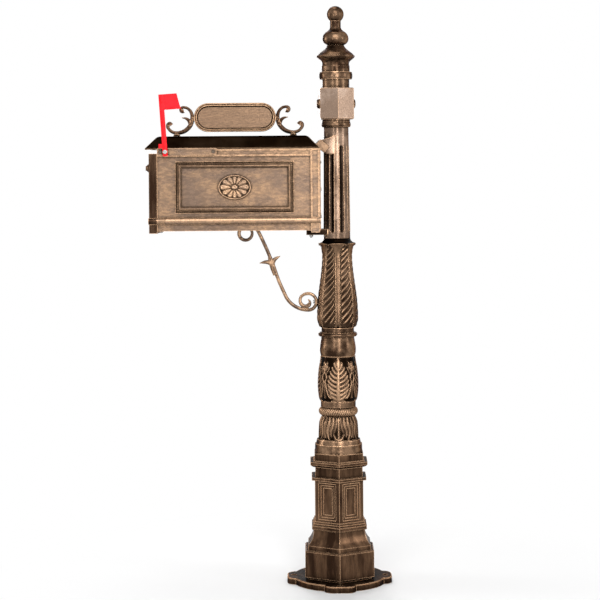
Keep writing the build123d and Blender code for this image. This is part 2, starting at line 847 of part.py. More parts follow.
def side_panel():
    """The panel on the -Y side, facing outwards along -Y."""
    low_band = eave_z - frieze_band_h
    with BuildSketch(Plane.YZ.offset(case_rear)) as section:
        with BuildLine():
            Polyline((-inner_y, case_z), (-field_y, case_z), (-field_y, bead_mid_z - base_bead_r))
            ThreePointArc(
                (-field_y, bead_mid_z - base_bead_r), (-field_y - base_bead_proud, bead_mid_z),
                (-field_y, bead_mid_z + base_bead_r),
            )
            Polyline(
                (-field_y, bead_mid_z + base_bead_r), (-field_y, low_band), (-field_y - lip_proud, low_band),
                (-field_y - lip_proud, low_band + lip_h), (-field_y - band_proud, low_band + lip_h),
                (-field_y - band_proud, eave_z - lip_h), (-field_y - lip_proud, eave_z - lip_h),
                (-field_y - lip_proud, eave_z), (-inner_y + top_flange_w, eave_z),
                (-inner_y + top_flange_w, eave_z - top_flange_t), (-inner_y, eave_z - top_flange_t),
                (-inner_y, case_z),
            )
        make_face()
    extrude(section.sketch, amount=-case_l)
    pilaster_x = case_rear - pilaster_w / 2
    bead_top_z = bead_mid_z + base_bead_r
    with BuildSketch(flag_side) as pilaster:
        with Locations((pilaster_x, (case_z + eave_z) / 2)):
            Rectangle(pilaster_w, case_h)
    extrude(pilaster.sketch, amount=lip_proud)
    with BuildSketch(flag_side.offset(lip_proud)) as sunk:
        with Locations((pilaster_x, (bead_top_z + eave_z - lip_h) / 2)):
            Rectangle(pilaster_w - 2 * lip_h, eave_z - lip_h - bead_top_z)
    extrude(sunk.sketch, amount=-lip_proud + pilaster_proud, mode=Mode.SUBTRACT)
    with BuildSketch(Plane.YZ.offset(case_rear + base_bead_end)) as bead_end:
        with BuildLine():
            ThreePointArc(
                (-field_y, bead_mid_z - base_bead_r), (-field_y - base_bead_proud, bead_mid_z),
                (-field_y, bead_top_z),
            )
            Line((-field_y, bead_top_z), (-field_y, bead_mid_z - base_bead_r))
        make_face()
    extrude(bead_end.sketch, amount=-pilaster_w - base_bead_end)
    with BuildSketch(Plane.XZ.offset(inner_y)) as block:
        with Locations((pilaster_x, (case_z - pilaster_block_drop + bead_mid_z) / 2)):
            Rectangle(pilaster_w, bead_mid_z - case_z + pilaster_block_drop)
    extrude(block.sketch, amount=plate_y + lip_proud)
    with BuildSketch(Plane.XZ.offset(field_y)) as rope:
        with Locations((rope_x, rope_mid_z)):
            Rectangle(rope_frame_l, rope_frame_h)
            Rectangle(rope_frame_l - 2 * rope_w, rope_frame_h - 2 * rope_w, mode=Mode.SUBTRACT)
    bead = extrude(rope.sketch, amount=rope_proud)
    outermost = bead.faces().sort_by(Axis.Y)[0]
    fillet(outermost.edges(), rope_proud * 0.9)
    with BuildSketch(flag_side) as grooves:
        with Locations((rope_x, rope_mid_z)):
            Rectangle(rope_frame_l + 2 * groove_w, rope_frame_h + 2 * groove_w)
            Rectangle(rope_frame_l, rope_frame_h, mode=Mode.SUBTRACT)
            Rectangle(rope_frame_l - 2 * rope_w, rope_frame_h - 2 * rope_w)
    extrude(grooves.sketch, amount=-groove_depth, mode=Mode.SUBTRACT)
    with BuildSketch(Plane.XZ.offset(inner_y)) as case_holes:
        with Locations(*[(x, case_screw_z) for x in case_screw_x]):
            Circle(screw_r)
    extrude(case_holes.sketch, amount=case_screw_l - floor_t, mode=Mode.SUBTRACT)
    with BuildSketch(Plane.YZ.offset(case_rear)) as rear_holes:
        with Locations(*[(-rear_screw_y, z) for z in rear_screw_z]):
            Circle(screw_r)
    extrude(rear_holes.sketch, amount=-rear_screw_l, mode=Mode.SUBTRACT)
    with BuildSketch(Plane.XY.offset(eave_z)) as roof_holes:
        with Locations(*[(x, -roof_screw_y) for x in roof_screw_x]):
            Circle(screw_r)
    extrude(roof_holes.sketch, amount=-top_flange_t, mode=Mode.SUBTRACT)


with BuildPart() as plain_panel_at_flag_side:
    side_panel()

with BuildPart() as flag_side_panel:
    side_panel()
    with BuildSketch(Plane.XZ.offset(inner_y)):
        with Locations(*[(x, bar_mid_z) for x in bar_screw_x]):
            Circle(screw_r)
        with Locations((pivot_x, bar_mid_z)):
            Circle(rivet_r)
    extrude(amount=plate_y + lip_proud, mode=Mode.SUBTRACT)
save(flag_side_panel, "flag_side_panel")

with BuildPart() as plain_side_panel:
    mirror(plain_panel_at_flag_side.part, about=Plane.XZ)
save(plain_side_panel, "plain_side_panel")


def medallion(side):
    """An oval rosette that stands on the panel's recessed field. side is -1 at -Y and +1 at +Y."""
    seat = field_y - groove_depth
    face = Plane(origin=(rope_x, side * seat, rope_mid_z), x_dir=(-side, 0, 0), z_dir=(0, side, 0))
    with BuildSketch(face) as oval:
        Ellipse(medallion_l / 2, medallion_h / 2)
    extrude(oval.sketch, amount=medallion_t)
    with BuildSketch(face.offset(medallion_base_t)) as sunk:
        Ellipse(medallion_l / 2 - medallion_rim, medallion_h / 2 - medallion_rim)
        Ellipse(medallion_l * leaf_hub / 2, medallion_h * leaf_hub / 2, mode=Mode.SUBTRACT)
        for k in range(leaf_count):
            turn = 2 * pi * k / leaf_count
            reach = Vector(medallion_l, medallion_h) / 2 - Vector(1, 1) * (medallion_rim + groove_w)
            tip = Vector(reach.X * cos(turn), reach.Y * sin(turn))
            heel = tip * leaf_heel
            long = (tip - heel).length
            with Locations(Location((tip + heel) * 0.5, (0, 0, degrees(atan2(tip.Y, tip.X))))):
                SlotOverall(long, long * leaf_plump, mode=Mode.SUBTRACT)
    extrude(sunk.sketch, amount=medallion_t - medallion_base_t, mode=Mode.SUBTRACT)


with BuildPart() as flag_side_medallion:
    medallion(-1)
save(flag_side_medallion, "flag_side_medallion")

with BuildPart() as plain_side_medallion:
    medallion(1)
save(plain_side_medallion, "plain_side_medallion")

# ---- Floor pan, rear panel and door frame ----
with BuildPart() as floor_pan:
    with BuildSketch(Plane.YZ.offset(case_rear)):
        with BuildLine():
            Polyline(
                (-inner_y, floor_z), (inner_y, floor_z), (inner_y, floor_z + floor_flange_h),
                (inner_y - floor_t, floor_z + floor_flange_h), (inner_y - floor_t, floor_z + floor_t),
                (-inner_y + floor_t, floor_z + floor_t), (-inner_y + floor_t, floor_z + floor_flange_h),
                (-inner_y, floor_z + floor_flange_h), close=True,
            )
        make_face()
    extrude(amount=-floor_l)
    with Locations(*[(-arm_bolt_x, y, floor_z + floor_t) for y in (-arm_bolt_y, arm_bolt_y)]):
        Hole(arm_bolt_r + bolt_fit)
    with BuildSketch(Plane.XZ):
        with Locations(*[(x, case_screw_z) for x in case_screw_x]):
            Circle(screw_r)
    extrude(amount=inner_y, both=True, mode=Mode.SUBTRACT)
    with BuildSketch(Plane.XY.offset(floor_z)):
        with Locations((loop_top.X, 0)):
            Circle(brace_bolt_r)
        with Locations(*[(hinge_screw_x, side * hinge_screw_y) for side in (-1, 1)]):
            Circle(screw_r)
    extrude(amount=floor_t, mode=Mode.SUBTRACT)
save(floor_pan, "floor_pan")

with BuildPart() as rear_panel:
    with BuildSketch(Plane.YZ.offset(case_rear)):
        with Locations((0, (case_z + eave_z) / 2)):
            Rectangle(2 * field_y, case_h)
    extrude(amount=rear_t)
    chamfer(rear_panel.faces().sort_by(Axis.X)[-1].edges(), 1)
    with BuildSketch(Plane.YZ.offset(case_rear)):
        with Locations(*[(y, z) for y in (-rear_screw_y, rear_screw_y) for z in rear_screw_z]):
            Circle(screw_r)
    extrude(amount=rear_t, mode=Mode.SUBTRACT)
save(rear_panel, "rear_panel")

frame_h = eave_z - floor_z
with BuildPart() as door_frame:
    with BuildSketch(Plane.YZ.offset(case_front)):
        with Locations((0, floor_z + frame_h / 2)):
            Rectangle(2 * inner_y, frame_h)
            Rectangle(2 * (inner_y - frame_bar), frame_h - 2 * frame_bar, mode=Mode.SUBTRACT)
        with Locations(*[(s * (inner_y - top_flange_w / 2), eave_z - top_flange_t / 2) for s in (-1, 1)]):
            Rectangle(top_flange_w, top_flange_t, mode=Mode.SUBTRACT)
        with Locations(*[(y, eave_z - frame_bar / 2) for y in (-clip_screw_y, clip_screw_y)]):
            Circle(screw_r, mode=Mode.SUBTRACT)
    extrude(amount=frame_t)
save(door_frame, "door_frame")


def pan_head_screws(places, direction, length):
    """Pan head screws: each place is the seat of the head, and direction points from the head to the tip."""
    for place in places:
        seat = Plane(origin=place, z_dir=direction)
        with BuildSketch(seat) as shank:
            Circle(screw_r)
        extrude(shank.sketch, amount=length)
        with BuildSketch(seat) as head:
            Circle(screw_head_r)
        extrude(head.sketch, amount=-screw_head_h)


with BuildPart() as case_screws:
    for side in (-1, 1):
        places = [(x, side * (inner_y - floor_t), case_screw_z) for x in case_screw_x]
        pan_head_screws(places, (0, side, 0), case_screw_l)
save(case_screws, "case_screws")

with BuildPart() as rear_screws:
    places = [(rear_x, y, z) for y in (-rear_screw_y, rear_screw_y) for z in rear_screw_z]
    pan_head_screws(places, (-1, 0, 0), rear_t + rear_screw_l)
save(rear_screws, "rear_screws")

with BuildPart() as roof_screws:
    places = [(x, y, eave_z - top_flange_t) for y in (-roof_screw_y, roof_screw_y) for x in roof_screw_x]
    pan_head_screws(places, (0, 0, 1), top_flange_t + roof_ledge_t)
save(roof_screws, "roof_screws")


# ---- Roof: a hipped shell on a ledge that lies on the side panels ----
run = (roof_h - roof_lip_h) / tan(slope)
eave_l = case_l + roof_overhang
shell = roof_wall / sin(slope)
with BuildPart() as roof:
    with BuildSketch(Plane.XY.offset(eave_z + roof_lip_h)):
        with Locations((roof_x, 0)):
            Rectangle(eave_l, 2 * roof_y)
    with BuildSketch(Plane.XY.offset(roof_top)):
        with Locations((roof_x, 0)):
            Rectangle(eave_l - 2 * run, 2 * (roof_y - run))
    loft()
    fillet(roof.faces().sort_by(Axis.Z)[-1].edges(), roof_crown_r)
    with BuildSketch(Plane.XY.offset(eave_z)):
        with Locations((roof_x, 0)):
            Rectangle(eave_l, 2 * roof_y)
    extrude(amount=roof_lip_h)
    inner_top = eave_z + roof_h - roof_wall
    inner_run = (inner_top - eave_z - roof_ledge_t) / tan(slope)
    inner_l = eave_l - 2 * shell
    inner_w = roof_y - shell
    with BuildSketch(Plane.XY.offset(eave_z + roof_ledge_t)):
        with Locations((roof_x, 0)):
            Rectangle(inner_l, 2 * inner_w)
    with BuildSketch(Plane.XY.offset(inner_top)):
        with Locations((roof_x, 0)):
            Rectangle(inner_l - 2 * inner_run, 2 * (inner_w - inner_run))
    loft(mode=Mode.SUBTRACT)
    with BuildSketch(Plane.XY.offset(eave_z)):
        with Locations(((case_front + case_rear) / 2, 0)):
            Rectangle(case_l - 2 * frame_bar, 2 * (inner_y - top_flange_w))
    extrude(amount=roof_ledge_t, mode=Mode.SUBTRACT)
    with BuildSketch(Plane.XY.offset(eave_z)):
        with Locations(*[(x, y) for x in roof_screw_x for y in (-roof_screw_y, roof_screw_y)]):
            Circle(screw_r)
    extrude(amount=roof_ledge_t, mode=Mode.SUBTRACT)
    with BuildSketch(pad_bolt_plane):
        Circle(pad_bolt_r)
    extrude(amount=-2 * roof_wall, mode=Mode.SUBTRACT)
    with BuildSketch(Plane.XY.offset(roof_top)):
        with Locations(*foot_places):
            Circle(screw_r)
    extrude(amount=-roof_wall, mode=Mode.SUBTRACT)
save(roof, "roof")

with BuildPart() as pad_bolt:
    with BuildSketch(pad_bolt_plane.offset(-roof_wall)):
        Circle(pad_bolt_r)
    extrude(amount=roof_wall + pad_bolt_l)
    with BuildSketch(pad_bolt_plane.offset(-roof_wall)):
        Circle(pad_bolt_head_r)
    extrude(amount=-pad_bolt_head_h)
save(pad_bolt, "pad_bolt")

# ---- Bolts through the floor and the lower arm ----
arm_bolt_places = [(-arm_bolt_x, y) for y in (-arm_bolt_y, arm_bolt_y)]
with BuildPart() as arm_bolts:
    with BuildSketch(Plane.XY.offset(floor_z + floor_t)):
        with Locations(*arm_bolt_places):
            Circle(arm_bolt_head_r)
    extrude(amount=arm_bolt_head_h)
    with BuildSketch(Plane.XY.offset(floor_z + floor_t)):
        with Locations(*arm_bolt_places):
            Circle(arm_bolt_r)
    extrude(amount=-(floor_z + floor_t - arm_z + arm_nut_h + arm_bolt_tail))
save(arm_bolts, "arm_bolts")

with BuildPart() as arm_nuts:
    with BuildSketch(Plane.XY.offset(arm_z)):
        with Locations(*arm_bolt_places):
            RegularPolygon(arm_nut_af / 2, 6, major_radius=False)
            Circle(arm_bolt_r, mode=Mode.SUBTRACT)
    extrude(amount=-arm_nut_h)
save(arm_nuts, "arm_nuts")

# ---- Scroll brace, drawn from its lower coil at the vase up to the loop under the floor ----
with BuildPart() as scroll_brace:
    with BuildSketch(Plane.XZ):
        with BuildLine():
            sweep_arc = JernArc(sweep_start, (cos(lower), -sin(lower)), brace_sweep_r, brace_lower_lean)
            JernArc(sweep_arc @ 1, (1, 0), brace_coil_r, 180)
            Line(sweep_start, knee)
            Line(knee, shoulder)
            JernArc(crest, (1, 0), brace_shoulder_r, -brace_upper_lean)
            Line(crest, loop_top)
            loop = JernArc(loop_top, (-1, 0), brace_loop_r, brace_loop_sweep)
        trace(line_width=brace_w)
        coil_end = Vector(coil_x, coil_z + brace_coil_r)
        with BuildLine():
            coil_curl = JernArc(coil_end, (-1, 0), 0.68 * brace_coil_r, 200)
            JernArc(loop @ 1, loop % 1, brace_loop_r / 2, 110)
        trace(line_width=brace_curl_w)
        with Locations(coil_curl @ 1):
            Circle(0.65 * brace_w)
        with Locations(knee):
            Circle(0.75 * brace_w)
    extrude(amount=brace_t / 2, both=True)
    with BuildSketch(Plane.XZ):
        for way, rise in ((-1, -0.1), (1, 0.5)):
            leaf_tip = knee + Vector(way, rise).normalized() * brace_leaf_l
            leaf_tail = knee + Vector(cos(lower), -sin(lower)) * brace_leaf_tail
            with BuildLine():
                ThreePointArc(knee, (knee + leaf_tip) / 2 + Vector(0, brace_leaf_w / 2), leaf_tip)
                ThreePointArc(leaf_tip, (knee + leaf_tip) / 2 - Vector(0, brace_leaf_w / 2), leaf_tail)
                Line(leaf_tail, knee)
            make_face()
    extrude(amount=brace_t / 4, both=True)
    with BuildSketch(Plane.XY.offset(floor_z)):
        with Locations((loop_top.X, 0)):
            Circle(brace_bolt_r)
    extrude(amount=-brace_bolt_l, mode=Mode.SUBTRACT)
    with BuildSketch(Plane.YZ.offset(coil_x + brace_coil_r)):
        with Locations((0, coil_z)):
            Circle(brace_bolt_r)
    extrude(amount=brace_w, both=True, mode=Mode.SUBTRACT)
save(scroll_brace, "scroll_brace")

with BuildPart() as brace_bolts:
    with BuildSketch(Plane.XY.offset(floor_z + floor_t)):
        with Locations((loop_top.X, 0)):
            Circle(brace_bolt_r)
    extrude(amount=-floor_t - brace_bolt_l)
    with BuildSketch(Plane.XY.offset(floor_z + floor_t)):
        with Locations((loop_top.X, 0)):
            Circle(brace_bolt_head_r)
    extrude(amount=brace_bolt_head_h)
    coil_inside = Plane.YZ.offset(coil_x + brace_coil_r - brace_w / 2 - brace_bolt_bed)
    with BuildSketch(coil_inside):
        with Locations((0, coil_z)):
            Circle(brace_bolt_r)
    extrude(amount=brace_w + wall)
    with BuildSketch(coil_inside):
        with Locations((0, coil_z)):
            Circle(brace_bolt_head_r)
    extrude(amount=-brace_bolt_head_h)
save(brace_bolts, "brace_bolts")

# ---- Door: a pan hinged at its foot on a pin under the floor ----
door_back = case_front - door_gap
door_face = door_back - door_t
door_low = case_z - door_drop
door_h = eave_z - door_top_gap - door_low
door_mid_z = door_low + door_h / 2
knob_z = door_low + knob_rise

with BuildPart() as door:
    with BuildSketch(Plane.YZ.offset(door_face)):
        with Locations((0, door_mid_z)):
            Rectangle(2 * door_y, door_h)
    extrude(amount=door_t)
    fillet(door.faces().sort_by(Axis.X)[0].edges(), door_plate_t / 2)
    with BuildSketch(Plane.YZ.offset(door_face + door_plate_t)):
        with Locations((0, door_mid_z)):
            Rectangle(2 * (door_y - door_flange_t), door_h - 2 * door_flange_t)
    extrude(amount=door_t, mode=Mode.SUBTRACT)
    with BuildSketch(Plane.YZ.offset(door_face)):
        with Locations((0, door_mid_z)):
            Rectangle(2 * (door_y - door_border), door_h - 2 * door_border)
    extrude(amount=door_panel_depth, mode=Mode.SUBTRACT)
    for side in (-1, 1):
        with BuildSketch(Plane.YZ.offset(door_back)):
            with BuildLine():
                bead_low = (side * field_y, bead_mid_z - base_bead_r)
                bead_high = (side * field_y, bead_mid_z + base_bead_r)
                ThreePointArc(bead_low, (side * (field_y + base_bead_proud), bead_mid_z), bead_high)
                Line(bead_high, bead_low)
            make_face()
        extrude(amount=-door_t - base_bead_end / 2)
        with BuildSketch(Plane.XZ.offset(-side * hinge_ear_y)):
            with Locations((hinge_x, hinge_z)):
                Circle(hinge_ear_r)
            with Locations(((hinge_x + door_back - door_flange_t) / 2, hinge_z)):
                Rectangle(hinge_x - door_back + door_flange_t, 2 * hinge_ear_r)
            with Locations((hinge_x, hinge_z)):
                Circle(hinge_pin_r + hinge_fit, mode=Mode.SUBTRACT)
        extrude(amount=hinge_ear_t / 2, both=True)
    with BuildSketch(Plane.YZ.offset(door_face)):
        with Locations((0, knob_z)):
            Circle(screw_r)
    extrude(amount=door_t, mode=Mode.SUBTRACT)
save(door, "door")

knob_seat = door_face + door_panel_depth
knob_tip = door_face - knob_l
with BuildPart() as door_knob:
    with BuildSketch(Plane.XZ):
        with BuildLine():
            rose = Vector(knob_seat - knob_rose_t, knob_z + knob_rose_r)
            Polyline((knob_seat, knob_z), (knob_seat, rose.Y), rose)
            Spline(
                rose, (knob_seat - 0.35 * knob_l, knob_z + knob_stem_r),
                (knob_seat - 0.7 * knob_l, knob_z + knob_r), (knob_tip + 0.1 * knob_l, knob_z + 0.6 * knob_r),
                (knob_tip, knob_z), tangents=((0, -1), (0, -1)),
            )
            Line((knob_tip, knob_z), (knob_seat, knob_z))
        make_face()
    revolve(axis=Axis((0, 0, knob_z), (1, 0, 0)))
    with BuildSketch(Plane.YZ.offset(knob_seat)):
        with Locations((0, knob_z)):
            Circle(screw_r)
    extrude(amount=-knob_l / 2, mode=Mode.SUBTRACT)
save(door_knob, "door_knob")

with BuildPart() as knob_screw:
    inside_plate = door_face + door_plate_t
    pan_head_screws([(inside_plate, 0, knob_z)], (-1, 0, 0), inside_plate - knob_seat + knob_l / 2)
save(knob_screw, "knob_screw")

with BuildPart() as hinge_pin:
    with BuildSketch(Plane.XZ):
        with Locations((hinge_x, hinge_z)):
            Circle(hinge_pin_r)
    extrude(amount=bracket_y + bracket_t, both=True)
save(hinge_pin, "hinge_pin")

with BuildPart() as hinge_brackets:
    for side in (-1, 1):
        with BuildSketch(Plane.XZ.offset(-side * (bracket_y + bracket_t / 2))):
            with Locations((hinge_x, hinge_z)):
                Circle(hinge_ear_r)
            with Locations((hinge_x + bracket_l / 2 - hinge_ear_r, (hinge_z + floor_z) / 2)):
                Rectangle(bracket_l, hinge_drop)
            with Locations((hinge_x, hinge_z)):
                Circle(hinge_pin_r, mode=Mode.SUBTRACT)
        extrude(amount=bracket_t / 2, both=True)
        with BuildSketch(Plane.XY.offset(floor_z)):
            with Locations((hinge_x + bracket_l / 2, side * (bracket_y + 1.5 * bracket_t))):
                Rectangle(bracket_l - 2 * hinge_ear_r, 3 * bracket_t)
            with Locations((hinge_screw_x, side * hinge_screw_y)):
                Circle(screw_r, mode=Mode.SUBTRACT)
        extrude(amount=-bracket_t / 2)
save(hinge_brackets, "hinge_brackets")

with BuildPart() as hinge_screws:
    places = [(hinge_screw_x, side * hinge_screw_y, floor_z - bracket_t / 2) for side in (-1, 1)]
    pan_head_screws(places, (0, 0, 1), bracket_t / 2 + floor_t)
save(hinge_screws, "hinge_screws")

with BuildPart() as catch_tongue:
    with BuildSketch(Plane.XY.offset(door_low + door_h - door_flange_t)):
        with Locations(((door_face + door_plate_t + door_back + tongue_l) / 2, 0)):
            Rectangle(door_back + tongue_l - door_face - door_plate_t, tongue_w)
    extrude(amount=-tongue_t)
save(catch_tongue, "catch_tongue")

clip_x = case_front + frame_t
clip_screw_z = eave_z - frame_bar / 2
with BuildPart() as catch_clip:
    with BuildSketch(Plane.YZ.offset(clip_x)):
        with Locations((0, clip_screw_z)):
            Rectangle(clip_l, frame_bar - clip_play)
        with Locations(*[(y, clip_screw_z) for y in (-clip_screw_y, clip_screw_y)]):
            Circle(screw_r, mode=Mode.SUBTRACT)
    extrude(amount=clip_t)
    jaw_y = tongue_w / 2 + clip_play + clip_t / 2
    jaw_low = door_low + door_h - door_flange_t - 2 * tongue_t
    with BuildSketch(Plane.XY.offset(jaw_low)):
        with Locations(*[(clip_x + tongue_l / 4, y) for y in (-jaw_y, jaw_y)]):
            Rectangle(tongue_l / 2, clip_t)
    extrude(amount=clip_screw_z - jaw_low)
save(catch_clip, "catch_clip")

with BuildPart() as catch_screws:
    places = [(clip_x + clip_t, y, clip_screw_z) for y in (-clip_screw_y, clip_screw_y)]
    pan_head_screws(places, (-1, 0, 0), clip_t + frame_t)
save(catch_screws, "catch_screws")

# ---- Signal flag: a bar on the frieze carries the rivet that the flag turns on ----
bar_face = bar_y + bar_t
bar_z = case_z + bar_rise
with BuildPart() as flag_bar:
    with BuildSketch(Plane.XZ.offset(bar_y)):
        with Locations((case_front + bar_l / 2, bar_mid_z)):
            RectangleRounded(bar_l, bar_h, bar_t)
    extrude(amount=bar_t)
    with BuildSketch(Plane.XZ.offset(bar_face)):
        with Locations((pivot_x, bar_mid_z)):
            Circle(boss_r)
    extrude(amount=boss_h)
    with BuildSketch(Plane.XZ.offset(bar_y)):
        with Locations((pivot_x, bar_mid_z)):
            Circle(rivet_r)
        with Locations(*[(x, bar_mid_z) for x in bar_screw_x]):
            Circle(screw_r)
    extrude(amount=bar_t + boss_h, mode=Mode.SUBTRACT)
save(flag_bar, "flag_bar")

with BuildPart() as flag_bar_screws:
    places = [(x, -bar_face, bar_mid_z) for x in bar_screw_x]
    pan_head_screws(places, (0, 1, 0), bar_face - inner_y)
save(flag_bar_screws, "flag_bar_screws")

flag_y = bar_face + boss_h + flag_play
lean = radians(flag_lean)
flag_plane = Plane(origin=(pivot_x, -flag_y, bar_mid_z), x_dir=(cos(lean), 0, sin(lean)), z_dir=(0, -1, 0))
arm_foot = Plane(
    origin=flag_plane.from_local_coords(Vector(0, -arm_below, 0)),
    x_dir=flag_plane.x_dir,
    z_dir=flag_plane.y_dir,
)
with BuildPart() as flag:
    with BuildSketch(arm_foot):
        with BuildLine():
            Polyline(
                (-arm_w / 2, 0), (arm_w / 2, 0), (arm_w / 2, -arm_edge_t), (0, -arm_edge_t - arm_ridge),
                (-arm_w / 2, -arm_edge_t), close=True,
            )
        make_face()
    extrude(amount=arm_below + flag_top)
    with BuildSketch(flag_plane):
        with BuildLine():
            Polyline(
                (0, flag_top), (blade_reach_top, flag_top), (blade_reach_low, blade_low), (0, blade_low),
                close=True,
            )
        make_face()
    extrude(amount=blade_t)
    with BuildSketch(flag_plane):
        with BuildLine():
            Polyline(
                (0, blade_low), (blade_reach_low, blade_low), (blade_reach_low, blade_low + blade_rim),
                (0, blade_low + blade_rim), close=True,
            )
        make_face()
    extrude(amount=blade_t + blade_rim_proud)
    tab_top = bar_z + bar_h + flag_play + tab_h
    tab_reach = bar_h / 2 + flag_play + tab_w
    with BuildSketch(Plane.XZ.offset(flag_y)):
        with Locations((pivot_x - tab_reach, tab_top - tab_h)):
            Rectangle(tab_reach, tab_h, align=(Align.MIN, Align.MIN))
    extrude(amount=arm_edge_t)
    with BuildSketch(Plane.XZ.offset(flag_y + arm_edge_t)):
        with Locations((pivot_x - tab_reach, tab_top - tab_h)):
            Rectangle(tab_w, arm_edge_t, align=(Align.MIN, Align.MIN))
    extrude(amount=-(flag_y + arm_edge_t - bar_y - bar_t / 2))
    with BuildSketch(flag_plane):
        Circle(rivet_r + rivet_fit)
    extrude(amount=2 * (arm_edge_t + arm_ridge), mode=Mode.SUBTRACT)
save(flag, "flag")

rivet_top = flag_y + arm_edge_t + arm_ridge + flag_play
with BuildPart() as flag_rivet:
    with BuildSketch(Plane.XZ.offset(inner_y)):
        with Locations((pivot_x, bar_mid_z)):
            Circle(rivet_r)
    extrude(amount=rivet_top - inner_y)
    with BuildSketch(Plane.XZ.offset(rivet_top)):
        with Locations((pivot_x, bar_mid_z)):
            Circle(rivet_head_r)
    extrude(amount=rivet_head_h)
    fillet(flag_rivet.faces().sort_by(Axis.Y)[0].edges(), rivet_head_h * 0.8)
save(flag_rivet, "flag_rivet")

# ---- Address plaque between two C-scrolls that stand on the roof ----
plaque_z = roof_top + plaque_lift + plaque_h / 2
with BuildPart() as plaque_frame:
    with BuildSketch(Plane.XZ):
        with Locations((plaque_x, plaque_z)):
            SlotOverall(plaque_l, plaque_h)
            SlotOverall(plaque_l - 2 * plaque_rim, plaque_h - 2 * plaque_rim, mode=Mode.SUBTRACT)
    extrude(amount=plaque_t / 2, both=True)
    chamfer(plaque_frame.edges().filter_by(Plane.XZ), plaque_rim / 5)
save(plaque_frame, "plaque_frame")

with BuildPart() as plaque_panel:
    with BuildSketch(Plane.XZ):
        with Locations((plaque_x, plaque_z)):
            SlotOverall(plaque_l - 2 * plaque_rim, plaque_h - 2 * plaque_rim)
    extrude(amount=plaque_plate_t / 2, both=True)
save(plaque_panel, "plaque_panel")

with BuildPart() as street_scroll:
    with BuildSketch(Plane.XZ):
        with BuildLine():
            low_arc = JernArc(waist_point, (0, -1), c_r, -115)
            high_line = Line(waist_point, waist_point + Vector(0, c_straight))
            high_arc = JernArc(high_line @ 1, (0, 1), c_top_r, 90)
        trace(line_width=scroll_w)
        with BuildLine():
            low_turn = JernArc(low_arc @ 1, low_arc % 1, c_turn_r, -65)
            low_curl = JernArc(low_turn @ 1, (0, 1), c_hook_r, -200)
            high_curl = JernArc(high_arc @ 1, (-1, 0), c_hook_r, 215)
        trace(line_width=curl_w)
        for curl in (low_curl, high_curl):
            with Locations(curl @ 1):
                Circle(curl_w * 0.75)
        horn_tip = waist_point - Vector(horn_reach, 0)
        horn_foot = waist_point - Vector(horn_w, horn_h)
        with BuildLine():
            horn_root = waist_point - Vector(0, horn_w)
            ThreePointArc(horn_tip, waist_point + Vector(-horn_reach / 2, horn_w / 3), horn_root)
            Line(horn_root, horn_foot)
            ThreePointArc(horn_foot, waist_point - Vector(0.4 * horn_reach, horn_h / 3), horn_tip)
        make_face()
        with Locations(waist_point + Vector(scroll_gap / 2 + scroll_w / 4, c_straight / 2)):
            Rectangle(scroll_gap + scroll_w / 2, c_straight)
        with Locations((foot_x, roof_top + foot_h / 2)):
            Trapezoid(foot_w, foot_h, 70)
    extrude(amount=scroll_t / 2, both=True)
    with BuildSketch(Plane.XZ):
        with Locations((plaque_x, plaque_z)):
            SlotOverall(plaque_l, plaque_h)
    extrude(amount=scroll_t, both=True, mode=Mode.SUBTRACT)
    with BuildSketch(Plane.XY.offset(roof_top)):
        with Locations((foot_x, 0)):
            Circle(screw_r)
    extrude(amount=foot_h * 0.7, mode=Mode.SUBTRACT)
save(street_scroll, "street_scroll")

with BuildPart() as post_scroll:
    mirror(street_scroll.part, about=Plane.YZ.offset(plaque_x))
save(post_scroll, "post_scroll")

with BuildPart() as scroll_screws:
    places = [(x, y, roof_top - roof_wall) for x, y in foot_places]
    pan_head_screws(places, (0, 0, 1), roof_wall + foot_h * 0.7)
save(scroll_screws, "scroll_screws")
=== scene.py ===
from math import atan2, cos, hypot, pi, radians, sin, tau

import bmesh
import bpy
import numpy as np
from mathutils import Matrix, Vector


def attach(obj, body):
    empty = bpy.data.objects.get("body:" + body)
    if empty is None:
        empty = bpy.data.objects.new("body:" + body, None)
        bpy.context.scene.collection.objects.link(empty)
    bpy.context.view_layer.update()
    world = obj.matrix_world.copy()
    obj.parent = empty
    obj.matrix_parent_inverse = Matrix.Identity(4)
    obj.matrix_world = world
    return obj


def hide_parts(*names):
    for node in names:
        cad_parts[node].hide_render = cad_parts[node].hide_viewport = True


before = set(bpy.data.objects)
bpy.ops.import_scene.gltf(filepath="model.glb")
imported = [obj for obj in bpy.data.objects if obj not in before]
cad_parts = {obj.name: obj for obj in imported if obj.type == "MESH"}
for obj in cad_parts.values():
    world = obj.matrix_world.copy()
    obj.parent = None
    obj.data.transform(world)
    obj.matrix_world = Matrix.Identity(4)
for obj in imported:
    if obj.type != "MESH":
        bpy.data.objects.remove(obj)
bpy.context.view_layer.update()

# ---- Foot plate and pedestal ------------------------------------------------------------------
# Sand-cast aluminium, painted dark brown, then rubbed with a coppery bronze that stays on the edges
# and the high places and is wiped out of the hollows. The hollows are darkened both as patina and as
# painted shade. Four anchor bolts hold the plate down.
# Colour of the hollows: patina, and also painted shade where parts close in on each other.
HOLLOW_PATINA_AND_SHADE = (0.005, 0.0024, 0.0012, 1)
POST_BROWN = (0.034, 0.018, 0.0105, 1)
POST_RUB = (0.20, 0.122, 0.075, 1)
WORN_COPPER = (0.78, 0.48, 0.285, 1)
CREASE_PATINA_SHADE_SHARE, SUNK_PATINA_SHADE_SHARE, COPPER_SHARE = 0.95, 0.97, 0.42  # dark in creases, dark in relief, copper on it
EDGE_R = 0.0030  # how far a worn edge reaches
GRAIN_DEPTH, GRAIN_STRENGTH = 0.0012, 0.16
WIDE_PATINA_SHADE, FINE_PATINA_SHADE = (0.030, 0.42, 0.94), (0.006, 0.45, 0.86)  # reach in metres, deep, open
MIX_A, MIX_B, MIX_OUT = 6, 7, 2  # the colour sockets of a Mix node


